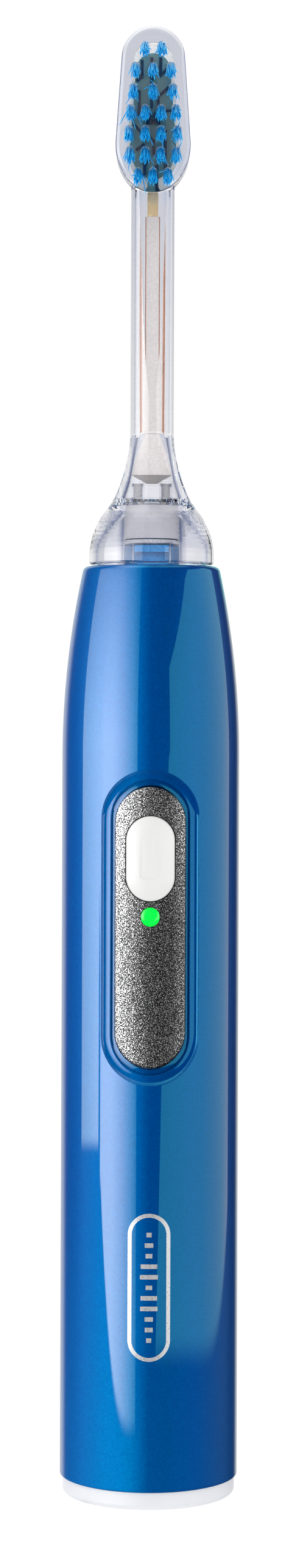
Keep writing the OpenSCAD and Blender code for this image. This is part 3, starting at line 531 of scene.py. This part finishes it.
def handle_skin(material):
    """The painted shell, with the pocket for the panel let into its front."""
    angles = skin_angles()
    patch_rows = patch_row_heights()
    outside, first_outer_row = outside_profile(patch_rows)
    inside, first_inner_row = inside_profile(patch_rows)
    last_outer_row = first_outer_row + len(patch_rows) - 1
    first_inner_row += len(outside)
    last_inner_row = first_inner_row + len(patch_rows) - 1
    profile = outside + inside

    verts = []
    for r, z in profile:
        for a in angles:
            t = math.radians(a)
            verts.append((r * math.sin(t), -r * math.cos(t), z))
    columns = len(angles)
    rows = len(profile)
    faces = []
    for i in range(rows):
        in_patch = first_outer_row <= i < last_outer_row or first_inner_row <= i < last_inner_row
        for j in range(columns):
            if in_patch and j < PATCH_COLUMNS:
                continue
            k = (j + 1) % columns
            n = (i + 1) % rows
            faces.append((i * columns + j, i * columns + k, n * columns + k, n * columns + j))

    def border(first, last):
        """Vertex numbers round a patch: along its first row, up, back and down."""
        loop = [first * columns + j for j in range(PATCH_COLUMNS + 1)]
        loop += [i * columns + PATCH_COLUMNS for i in range(first + 1, last + 1)]
        loop += [last * columns + j for j in range(PATCH_COLUMNS - 1, -1, -1)]
        loop += [i * columns for i in range(last - 1, first, -1)]
        return loop

    def ring(loop, inset, radius_at):
        """A loop at an inset from the pocket's edge, one vertex for each one of another loop."""
        numbers = []
        for v in loop:
            x0, _, z0 = verts[v]
            x, z = stadium_point(POCKET_W - 2 * inset, POCKET_H - 2 * inset, PANEL_Z, (x0, z0))
            r = radius_at(z)
            numbers.append(len(verts))
            verts.append((x, -math.sqrt(r * r - x * x), z))
        return numbers

    def place(v):
        """Height and azimuth of a vertex, rounded so that the same place always compares equal."""
        x, y, z = verts[v]
        return round(z, 6), round(math.atan2(x, -y), 6)

    outer_loop = border(first_outer_row, last_outer_row)
    previous = outer_loop
    for part in (0.2, 0.4, 0.6, 0.8):
        loop = []
        for v in outer_loop:
            x0, _, z0 = verts[v]
            x1, z1 = stadium_point(POCKET_W + 2.0, POCKET_H + 2.0, PANEL_Z, (x0, z0))
            x = x0 + (x1 - x0) * part
            z = z0 + (z1 - z0) * part
            loop.append(len(verts))
            verts.append((x, -math.sqrt(SKIN_R**2 - x * x), z))
        bridge(faces, previous, loop)
        previous = loop
    for inset, depth in POCKET_SECTION:
        loop = ring(outer_loop, inset, lambda z, d=depth: shoulder_radius(z) - d)
        bridge(faces, previous, loop)
        previous = loop
    # The inner border runs down where the outer one runs up, so it's put in the outer one's order
    lookup = {place(v): v for v in border(first_inner_row, last_inner_row)}
    inner_loop = [lookup[place(v)] for v in outer_loop]
    hole = ring(outer_loop, POCKET_SECTION[-1][0], lambda z: SKIN_R - WALL)
    bridge(faces, previous, hole)
    bridge(faces, hole, inner_loop)
    obj = make_object("painted_shell", verts, faces)
    sharpen(obj, 50)
    true_normals(obj, EDGE_Z - 1.1)
    return finish_piece(obj, "handle", "pearl_blue", material, "handle_shell")


def true_normals(obj, z_end):
    """Gives the handle's outside the normals of the true surface, up to the rounded top edge."""
    mesh = obj.data
    normals = [n.vector.copy() for n in mesh.corner_normals]
    for face in mesh.polygons:
        for corner in face.loop_indices:
            p = mesh.vertices[mesh.loops[corner].vertex_index].co / MM
            radius = math.hypot(p.x, p.y)
            if p.z > z_end or abs(radius - shoulder_radius(p.z)) > 0.002:
                continue
            rise = max(p.z - SHOULDER_Z, 0.0) / SHOULDER_R
            flat = math.sqrt(1 - rise * rise)
            true = Vector((p.x / radius * flat, p.y / radius * flat, rise))
            if face.normal.dot(true) > 0.97:
                normals[corner] = true
    mesh.normals_split_custom_set(normals)


def stadium_solid(width, height, z_centre, section, count=144):
    """A closed solid of stadium rings at (inset, radius) steps, from its back to the middle of its face."""
    verts = []
    faces = []
    half = (height - width) / 2
    rim = []
    for i in range(count):
        a = 2 * math.pi * (i + 0.5) / count
        side = half if math.sin(a) > 0 else -half
        rim.append((math.cos(a), math.sin(a), side))
    previous = None
    for inset, r in section:
        loop = []
        for c, s, side in rim:
            w = max(width / 2 - inset, 0.0)
            x = c * w
            z = s * w + side
            loop.append(len(verts))
            verts.append((x, -math.sqrt(max(r * r - x * x, 0.0)), z + z_centre))
        if previous is None:
            first = loop
        else:
            bridge(faces, previous, loop)
        previous = loop
    close_stadium(faces, first)
    close_stadium(faces, previous)
    return verts, faces


def close_stadium(faces, loop):
    """Fills a stadium's loop with rungs from its right half to its left half."""
    count = len(loop)
    half = count // 2
    quarter = count // 4
    right = [loop[(i - quarter) % count] for i in range(half)]
    left = [loop[(-i - 1 - quarter) % count] for i in range(half)]
    for i in range(half - 1):
        faces.append((right[i], right[i + 1], left[i + 1], left[i]))


def rounded_rim(inset, top_r, radius, steps):
    """Steps of a rounded edge, from the side wall to the face."""
    points = []
    for i in range(steps + 1):
        a = math.pi / 2 * i / steps
        points.append((inset + radius * (1 - math.cos(a)), top_r - radius * (1 - math.sin(a))))
    return points


def cutter(name, width, height, z_centre, from_r, to_r):
    verts, faces = stadium_solid(width, height, z_centre, [(0, from_r), (0, to_r)], 96)
    return make_object(name, verts, faces)


def cut(obj, tool):
    modifier = obj.modifiers.new("cut", "BOOLEAN")
    modifier.operation = "DIFFERENCE"
    modifier.solver = "EXACT"
    modifier.object = tool
    with bpy.context.temp_override(object=obj, active_object=obj):
        bpy.ops.object.modifier_apply(modifier="cut")
    bpy.data.objects.remove(tool)


def panel_plate(material):
    """The silver plate, with its holes for the button and the light."""
    section = [(0.0, PANEL_TOP_R - 0.6)]
    section += rounded_rim(0.0, PANEL_TOP_R, 0.38, 7)
    section += [(i * 0.5, PANEL_TOP_R) for i in range(2, 11)]
    verts, faces = stadium_solid(PANEL_W, PANEL_H, PANEL_Z, section)
    obj = make_object("panel_plate", verts, faces)
    cut(obj, cutter("button_hole", BUTTON_W + 0.24, BUTTON_H + 0.24, BUTTON_Z, 11.0, 15.0))
    cut(obj, cutter("light_hole", 2 * LIGHT_R + 0.1, 2 * LIGHT_R + 0.101, LIGHT_Z, 11.0, 15.0))
    sharpen(obj, 40)
    return finish_piece(obj, "handle", "silver_panel", material, "control_panel")


MARK_R = 2.4
MARK_STROKE = 0.36
MARK_DEPTH = 0.13
MARK_DROP = 0.6  # how far the mark's middle is below the button's


def mark_depth(x, z):
    """How far the power mark, an open ring with a bar, is sunk at a place on the button."""
    dz = z - (BUTTON_Z - MARK_DROP)
    angle = abs(math.degrees(math.atan2(x, dz)))
    inner = MARK_STROKE * 0.5
    outer = MARK_STROKE * 1.1
    ring = 1 - smoothstep(inner, outer, abs(math.hypot(x, dz) - MARK_R))
    ring *= smoothstep(16, 24, angle)
    bar = 1 - smoothstep(inner, outer, abs(x))
    bar *= smoothstep(0.6, 1.0, dz) * (1 - smoothstep(3.2, 3.6, dz))
    return MARK_DEPTH * max(ring, bar)


def button_cap(material):
    """The domed button with its sunken power mark."""
    dome = 0.32
    rim = 0.3
    base_r = BUTTON_TOP_R - 2.6
    section = [(0.0, base_r)]
    section += rounded_rim(0.0, BUTTON_TOP_R - dome, rim, 6)
    steps = 34
    for i in range(1, steps):
        t = i / steps
        rise = math.sin(math.pi / 2 * min(1.0, t * 1.25))
        section.append((rim + (BUTTON_W / 2 - rim) * t, BUTTON_TOP_R - dome * (1 - rise) ** 1.5))
    section.append((BUTTON_W / 2 - 0.02, BUTTON_TOP_R))
    verts, faces = stadium_solid(BUTTON_W, BUTTON_H, BUTTON_Z, section, 200)
    front = base_r + 1.0
    moved = [(x, y + mark_depth(x, z) if y < -front else y, z) for x, y, z in verts]
    obj = make_object("button_cap", moved, faces)
    sharpen(obj, 50)
    return finish_piece(obj, "button", "button_white", material, "power_button")


def light_lens(material):
    """The light's slightly domed lens."""
    profile = [(0.0, 11.0), (LIGHT_R, 11.0), (LIGHT_R, PANEL_TOP_R - 0.15)]
    profile += [
        (LIGHT_R * math.cos(a), PANEL_TOP_R - 0.15 + 0.22 * math.sin(a))
        for a in [math.pi / 2 * i / 8 for i in range(1, 8)]
    ]
    profile += [(0.0, PANEL_TOP_R + 0.07)]
    verts = []
    faces = []
    count = 48
    for r, depth in profile:
        for i in range(count):
            a = 2 * math.pi * i / count
            verts.append((r * math.cos(a), -depth, LIGHT_Z + r * math.sin(a)))
    for k in range(len(profile) - 1):
        bridge(faces, range(k * count, (k + 1) * count), range((k + 1) * count, (k + 2) * count))
    obj = make_object("light_lens", verts, faces)
    bm = bmesh.new()
    bm.from_mesh(obj.data)
    bmesh.ops.remove_doubles(bm, verts=bm.verts, dist=1e-7)
    bmesh.ops.recalc_face_normals(bm, faces=bm.faces)
    bm.to_mesh(obj.data)
    bm.free()
    sharpen(obj, 50)
    return finish_piece(obj, "handle", "green_lens", material, "light_guide")


# ---- Brush head ----


def head_outline(inset, count=120):
    """The head's outline seen from the front (x, z), a number of mm in from its edge."""
    points = []
    for i in range(count):
        a = 2 * math.pi * (i + 0.5) / count
        c = math.cos(a)
        s = math.sin(a)
        reach = math.hypot(HEAD_LOW_R * c, HEAD_LOW_K * s)
        x = HEAD_LOW_R**2 * c / reach
        z = HEAD_LOW_K**2 * s / reach
        if HEAD_TOP_R + s * HEAD_GAP > reach:
            x = HEAD_TOP_R * c
            z = HEAD_TOP_R * s + HEAD_GAP
        points.append((x - inset * c, HEAD_Z + z - inset * s))
    return points


def clear_plate(material):
    """The plate that holds the tufts, with its rounded front edge and its holes."""
    verts = []
    faces = []
    steps = [(0.0, PLATE_BACK)] + rounded_rim(0.0, PLATE_FRONT, 0.75, 8)
    previous = None
    for inset, depth in steps:
        loop = []
        for x, z in head_outline(inset):
            loop.append(len(verts))
            verts.append((x, -depth, z))
        if previous is None:
            faces.append(tuple(loop))
        else:
            bridge(faces, previous, loop)
        previous = loop
    faces.append(tuple(reversed(previous)))
    obj = make_object("clear_plate", verts, faces)
    cut(obj, tuft_holes())
    sharpen(obj, 35)
    return finish_piece(obj, "attachment", "clear_plastic", material, "tuft_plate")


def tuft_holes():
    """The cylinders that are cut out of the plate."""
    verts = []
    faces = []
    sides = 20
    hole_r = TUFT_R + 0.02
    for x, z in tuft_centres():
        rings = []
        for depth in (PLATE_FRONT - TUFT_ROOT, PLATE_FRONT + 1):
            first = len(verts)
            rings.append(range(first, first + sides))
            for i in range(sides):
                a = 2 * math.pi * i / sides
                verts.append((x + hole_r * math.cos(a), -depth, z + hole_r * math.sin(a)))
        bridge(faces, *rings)
        for ring in rings:
            faces.append(tuple(ring))
    return make_object("tuft_holes", verts, faces)


def tuft_centres():
    """Where each tuft stands on the plate (x, z)."""
    centres = []
    for row, places in enumerate(TUFT_ROWS):
        for x in places:
            centres.append((x, TUFT_TOP_Z - row * TUFT_PITCH))
    return centres


def bristles(material):
    """Every bristle of every tuft: a thin tapered prism that leans down and splays out from the tuft."""
    chance = random.Random(7)
    golden_angle = 2.39996
    unevenness = 0.014
    stray_share = 0.035
    verts = []
    faces = []
    sides = 5
    segments = 5
    for x0, z0 in tuft_centres():
        for k in range(BRISTLES_PER_TUFT):
            spread = math.sqrt((k + 0.5) / BRISTLES_PER_TUFT)
            turn = k * golden_angle + chance.uniform(-0.2, 0.2)
            u = spread * math.cos(turn)
            v = spread * math.sin(turn)
            x_root = x0 + u * (TUFT_R - BRISTLE_R)
            z_root = z0 + v * (TUFT_R - BRISTLE_R)
            stray = chance.uniform(0.1, 0.26) if chance.random() < stray_share else 0.0
            way = chance.uniform(0.0, 2 * math.pi)
            side = u * SPLAY + chance.gauss(0.0, unevenness) + stray * math.cos(way)
            down = -math.tan(BRISTLE_LEAN) + v * SPLAY + chance.gauss(0.0, unevenness) + stray * math.sin(way)
            length = BRISTLE_L + chance.uniform(-0.22, 0.12)
            curl = chance.gauss(0.0, 0.12)
            shape = Vector((side, -1.0, down)).normalized()
            across = shape.cross(Vector((0.0, 0.0, 1.0))).normalized()
            upward = across.cross(shape)
            root = Vector((x_root, -(PLATE_FRONT - TUFT_ROOT + 0.3), z_root))
            bend = Vector((x_root, -PLATE_FRONT, z_root))
            stations = [(root, BRISTLE_R)]
            for i in range(segments):
                t = i / (segments - 1)
                centre = bend + shape * (length * t) + across * (curl * t * t)
                stations.append((centre, BRISTLE_R * (1.0 - 0.45 * t**6)))
            rings = []
            for centre, r in stations:
                first = len(verts)
                rings.append(range(first, first + sides))
                for i in range(sides):
                    a = 2 * math.pi * i / sides
                    verts.append(centre + across * (r * math.cos(a)) + upward * (r * math.sin(a)))
            for lower, upper in zip(rings, rings[1:]):
                bridge(faces, lower, upper)
            faces.append(tuple(reversed(rings[0])))
            faces.append(tuple(rings[-1]))
    obj = make_object("bristles", verts, faces)
    sharpen(obj, 80)
    return finish_piece(obj, "attachment", "bristle_blue", material, "bristle_tufts")


# ---- Stage, lights and camera ----


class Sky:
    """Node shorthand for the studio that surrounds the object."""

    def __init__(self, tree):
        self.tree = tree
        tree.nodes.clear()

    def add(self, kind):
        return self.tree.nodes.new(kind)

    def link(self, value, socket):
        if isinstance(value, bpy.types.NodeSocket):
            self.tree.links.new(value, socket)
        else:
            socket.default_value = value

    def math(self, operation, a, b=0.0):
        node = self.add("ShaderNodeMath")
        node.operation = operation
        self.link(a, node.inputs[0])
        self.link(b, node.inputs[1])
        return node.outputs[0]

    def product(self, *values):
        result = values[0]
        for value in values[1:]:
            result = self.math("MULTIPLY", result, value)
        return result

    def remap(self, value, low, high, to_low, to_high, kind="LINEAR"):
        node = self.add("ShaderNodeMapRange")
        node.interpolation_type = kind
        for key, number in (("Value", value), ("From Min", low), ("From Max", high)):
            self.link(number, node.inputs[key])
        for key, number in (("To Min", to_low), ("To Max", to_high)):
            self.link(number, node.inputs[key])
        return node.outputs["Result"]

    def above(self, value, edge, soft):
        """0 below an edge and 1 above it."""
        return self.remap(self.math("SUBTRACT", value, edge), -soft, soft, 0.0, 1.0, "SMOOTHSTEP")

    def below(self, value, edge, soft):
        return self.math("SUBTRACT", 1.0, self.above(value, edge, soft))

    def between(self, value, low, high, soft):
        return self.product(self.above(value, low, soft), self.below(value, high, soft))


# The softboxes that the paint reflects. Azimuths are in degrees from the camera's side, positive to the
# right, and slopes are the rise of a direction over its level run.
NEAR_BOX = (-67.0, -17.0)
NEAR_BOX_FOOT = -0.223
FAR_BOX = (-99.0, -69.5)
FAR_BOX_FOOT = -0.137
BOX_SEAM = (-69.7, -66.8)
BOX_SEAM_FOOT = -0.07
LEFT_LEVEL = (3.9, 8.4)
RIGHT_BOX_START = 24.8
RIGHT_BOX_END = 123.0
RIGHT_BOX_FOOT = -0.2
RIGHT_LEVEL = (2.3, 1.65)
BACKDROP_LEVEL = 0.8
CEILING_SLOPE = 1.6
CEILING_LEVEL = 1.6
SOFT_LEVEL = 0.95
INSIDE_LEVEL = 4.8
WHITE_LEVEL = 1.05


def left_softbox(sky, phi, slope):
    """A bright panel nearest the camera and one behind it, with a dark seam low down between them."""
    fade_up = sky.remap(slope, 0.02, 0.5, 1.0, 0.28)
    turn = sky.remap(phi, -20.0, -66.0, 0.0, 1.0)
    lip = sky.math("ADD", sky.math("MULTIPLY", sky.math("POWER", turn, 3.0), 0.075), NEAR_BOX_FOOT)
    near = sky.product(sky.between(phi, *NEAR_BOX, 0.5), sky.above(slope, lip, 0.004))
    far = sky.product(sky.between(phi, *FAR_BOX, 0.6), sky.above(slope, FAR_BOX_FOOT, 0.003))
    seam = sky.product(sky.between(phi, *BOX_SEAM, 0.3), sky.above(slope, BOX_SEAM_FOOT, 0.02))
    rise = sky.remap(phi, FAR_BOX[0], -62.0, *LEFT_LEVEL)
    inner = sky.remap(slope, -0.15, 0.0, 0.21, 0.3)
    fall = sky.remap(phi, NEAR_BOX[1], -50.0, inner, 1.0)
    panels = sky.math("MAXIMUM", sky.math("MAXIMUM", near, far), seam)
    return sky.product(panels, rise, fall, fade_up)


def right_softbox(sky, phi, slope):
    """A weaker and wider panel, which starts further out for what looks up than for what looks down."""
    lean = sky.math("MULTIPLY", sky.math("MINIMUM", slope, 0.0), 80.0)
    start = sky.math("ADD", lean, RIGHT_BOX_START)
    corner = sky.math("POWER", sky.remap(phi, 60.0, 125.0, 0.0, 1.0), 4.0)
    foot = sky.math("ADD", sky.math("MULTIPLY", corner, 0.05), RIGHT_BOX_FOOT)
    top = sky.math("ADD", sky.math("MULTIPLY", sky.math("SUBTRACT", phi, 30.0), 0.006), 0.24)
    sides = sky.product(sky.above(phi, start, 0.6), sky.below(phi, RIGHT_BOX_END, 0.6))
    ends = sky.product(sky.above(slope, foot, 0.006), sky.below(slope, top, 0.006))
    return sky.product(sides, ends, sky.remap(phi, 60.0, 120.0, *RIGHT_LEVEL))


def studio():
    """A white studio with a softbox on each side, set out by azimuth from the camera's side and by slope."""
    cycles = bpy.context.scene.cycles
    cycles.max_bounces = 32
    cycles.glossy_bounces = 16
    cycles.transmission_bounces = 24
    world = bpy.data.worlds.new("studio")
    bpy.context.scene.world = world
    world.use_nodes = True
    world.cycles.sampling_method = "NONE"
    sky = Sky(world.node_tree)
    split = sky.add("ShaderNodeSeparateXYZ")
    sky.link(sky.add("ShaderNodeTexCoord").outputs["Generated"], split.inputs[0])
    x, y, z = split.outputs
    minus_y = sky.math("MULTIPLY", y, -1.0)
    phi = sky.math("MULTIPLY", sky.math("ARCTAN2", x, minus_y), 180 / math.pi)
    flat = sky.math("SQRT", sky.math("ADD", sky.math("MULTIPLY", x, x), sky.math("MULTIPLY", y, y)))
    slope = sky.math("DIVIDE", z, sky.math("MAXIMUM", flat, 0.001))

    # What glossy surfaces reflect: the softboxes, the white backdrop behind the object and the ceiling
    left = left_softbox(sky, phi, slope)
    right = right_softbox(sky, phi, slope)
    behind_left = sky.remap(phi, -135.0, -152.0, 0.0, BACKDROP_LEVEL, "SMOOTHSTEP")
    behind_right = sky.remap(phi, 146.0, 162.0, 0.0, BACKDROP_LEVEL, "SMOOTHSTEP")
    behind = sky.math("ADD", behind_left, behind_right)
    ceiling = sky.product(sky.above(slope, CEILING_SLOPE, 0.3), CEILING_LEVEL)
    gloss = sky.math("ADD", sky.math("ADD", left, right), sky.math("ADD", behind, ceiling))

    # What is seen through the clear plastic, and what lights the parts inside it
    path = sky.add("ShaderNodeLightPath")
    through = path.outputs["Is Transmission Ray"]
    depth = sky.math("ABSOLUTE", y)
    brightest = sky.remap(slope, 0.05, 0.15, 1.0, 0.82)
    clear = sky.remap(depth, 0.4, 0.97, 0.16, brightest, "SMOOTHSTEP")
    inside = sky.math("MINIMUM", path.outputs["Diffuse Depth"], 1.0)
    outside = sky.math("SUBTRACT", 1.0, inside)
    cool = sky.product(through, sky.remap(clear, 0.9, 0.3, 0.0, 1.0), outside)
    clear = sky.math("MAXIMUM", clear, sky.product(inside, INSIDE_LEVEL))
    soft = sky.math("ADD", sky.math("MULTIPLY", x, -0.25), SOFT_LEVEL)

    reflected = sky.product(path.outputs["Is Glossy Ray"], sky.math("SUBTRACT", 1.0, through))
    total = sky.product(path.outputs["Is Camera Ray"], WHITE_LEVEL)
    for flag, value in ((reflected, gloss), (through, clear), (path.outputs["Is Diffuse Ray"], soft)):
        total = sky.math("ADD", total, sky.product(flag, value))
    background = sky.add("ShaderNodeBackground")
    tint = sky.add("ShaderNodeMix")
    tint.data_type = "RGBA"
    sky.link(cool, tint.inputs[0])
    sky.link((1.0, 1.0, 1.0, 1.0), tint.inputs[6])
    sky.link((0.5, 0.6, 1.0, 1.0), tint.inputs[7])
    sky.link(tint.outputs[2], background.inputs["Color"])
    sky.link(total, background.inputs["Strength"])
    sky.link(background.outputs[0], sky.add("ShaderNodeOutputWorld").inputs["Surface"])


def ceiling_light():
    """A large soft light above, which gives the object the faintest of shadows."""
    light = bpy.data.lights.new("ceiling_light", "AREA")
    light.shape = "RECTANGLE"
    light.size = 0.8
    light.size_y = 0.8
    light.energy = 1.0
    obj = bpy.data.objects.new("ceiling_light", light)
    bpy.context.scene.collection.objects.link(obj)
    obj.location = (-0.2, -0.1, 1.1)
    obj.rotation_euler = (0.0, math.radians(-10), 0.0)
    obj.visible_glossy = False
    obj.visible_camera = False
    obj.visible_transmission = False


def floor():
    m = Nodes("pale_floor")
    diffuse = m.add("ShaderNodeBsdfDiffuse", inputs={"Color": rgb(0.1, 0.1, 0.1)})
    glow = m.add("ShaderNodeEmission", inputs={"Color": rgb(1, 1, 1), "Strength": 0.97})
    both = m.add("ShaderNodeAddShader")
    m.tree.links.new(glow.outputs[0], both.inputs[0])
    m.tree.links.new(diffuse.outputs[0], both.inputs[1])
    m.surface(both)
    size = 4.0
    mesh = bpy.data.meshes.new("floor")
    corners = [(-size, -size, 0), (size, -size, 0), (size, size, 0), (-size, size, 0)]
    mesh.from_pydata(corners, [], [(0, 1, 2, 3)])
    obj = bpy.data.objects.new("floor", mesh)
    bpy.context.scene.collection.objects.link(obj)
    obj.data.materials.append(m.material)
    obj.visible_glossy = False
    return obj


def camera():
    data = bpy.data.cameras.new("camera")
    data.sensor_width = 36.0
    data.lens = LENS
    data.shift_x = SHIFT_X
    data.shift_y = SHIFT_Y
    data.clip_start = 0.01
    data.clip_end = 20.0
    obj = bpy.data.objects.new("camera", data)
    bpy.context.scene.collection.objects.link(obj)
    place = Matrix.Translation(CAMERA_PLACE)
    level = Matrix.Rotation(math.radians(90), 4, "X")
    obj.matrix_world = place @ level @ Matrix.Rotation(math.radians(CAMERA_ROLL), 4, "Z")
    bpy.context.scene.camera = obj


def assign(node, material):
    mesh = frame["nodes"][node].data
    mesh.materials.clear()
    mesh.materials.append(material)


studio()
ceiling_light()
floor()
camera()
bpy.context.scene.view_settings.view_transform = "Standard"

blue = pearl_blue()
clear = clear_plastic()
nylon = bristle_nylon()
LOOKS = {
    "pearl_blue": blue,
    "white_satin": white_plastic("white_satin", rgb(0.86, 0.87, 0.91), 0.15),
    "black_rubber": plain("black_rubber", rgb(0.03, 0.03, 0.03), 0.0, 0.5, 0.7),
    "bobbin_nylon": plain("bobbin_nylon", rgb(0.7, 0.62, 0.44), 0.0, 0.4, 0.55),
    "copper_winding": plain("copper_winding", rgb(0.75, 0.3, 0.15), 0.8, 0.25, 0.4, 6.0, 0.4),
    "lead_insulation": plain("lead_insulation", rgb(0.45, 0.01, 0.01), 0.0, 0.35, 0.5),
    "chassis_grey": plain("chassis_grey", rgb(0.035, 0.037, 0.045), 0.0, 0.45, 0.6, 5.0, 0.3),
    "cell_sleeve": plain("cell_sleeve", rgb(0.013, 0.15, 0.05), 0.0, 0.3, 0.4),
    "cell_card": plain("cell_card", rgb(0.75, 0.75, 0.7), 0.0, 0.7, 0.9, 4.0, 0.4),
    "nickel": plain("nickel", rgb(0.75, 0.73, 0.7), 0.4, 0.25, 0.4),
    "board_green": plain("board_green", rgb(0.003, 0.065, 0.02), 0.0, 0.35, 0.45),
    "zinc_screws": plain("zinc_screws", rgb(0.34, 0.34, 0.37), 0.9, 0.3, 0.45),
    "chip_black": plain("chip_black", rgb(0.006, 0.006, 0.007), 0.0, 0.4, 0.55, 6.0, 0.2),
    "ferrite": plain("ferrite", rgb(0.015, 0.015, 0.017), 0.0, 0.6, 0.75, 6.0, 0.4),
    "capacitor_can": plain("capacitor_can", rgb(0.008, 0.01, 0.08), 0.0, 0.25, 0.35),
    "led_body": plain("led_body", rgb(0.35, 0.85, 0.35), 0.0, 0.15, 0.25),
    "green_lens": lit_green(),
    "silver_panel": glitter_silver(),
    "gasket_foam": plain("gasket_foam", rgb(0.035, 0.035, 0.042), 0.0, 0.8, 0.95, 5.0, 0.6),
    "button_white": white_plastic("button_white", rgb(0.86, 0.86, 0.85), 0.08),
    "badge_silver": plain("badge_silver", rgb(0.75, 0.76, 0.78), 0.6, 0.25, 0.4),
    "spigot_blue": plain("spigot_blue", rgb(0.0, 0.17, 0.42), 0.0, 0.25, 0.35, coat=0.5),
    "spigot_silver": plain("spigot_silver", rgb(0.85, 0.82, 0.8), 0.1, 0.3, 0.45, 6.0, 0.3),
    "bright_ring": plain("bright_ring", rgb(0.85, 0.83, 0.82), 0.2, 0.2, 0.3),
    "gold_pins": plain("gold_pins", rgb(0.66, 0.45, 0.15), 1.0, 0.2, 0.3),
    "clear_plastic": clear,
    "potting_white": plain("potting_white", rgb(0.54, 0.5, 0.47), 0.0, 0.3, 0.5),
    "solder_tab": plain("solder_tab", rgb(0.62, 0.46, 0.24), 0.3, 0.15, 0.3, 1.3, 1.0),
    "carrier_white": plain("carrier_white", rgb(0.86, 0.85, 0.8), 0.0, 0.3, 0.45),
    "board_teal": plain("board_teal", rgb(0.09, 0.21, 0.22), 0.0, 0.3, 0.45),
    "track_dark": plain("track_dark", rgb(0.004, 0.008, 0.04), 0.0, 0.3, 0.45),
    "piezo_dark": plain("piezo_dark", rgb(0.005, 0.008, 0.03), 0.0, 0.2, 0.3),
    "bristle_blue": nylon,
    "anchor_brass": plain("anchor_brass", rgb(0.66, 0.6, 0.5), 0.3, 0.25, 0.35),
}
for part in frame["record"]["subparts"]:
    assign(part["node"], LOOKS[part["material_slot"]])
handle_skin(blue)
panel_plate(LOOKS["silver_panel"])
button_cap(LOOKS["button_white"])
light_lens(LOOKS["green_lens"])
clear_plate(clear)
bristles(nylon)
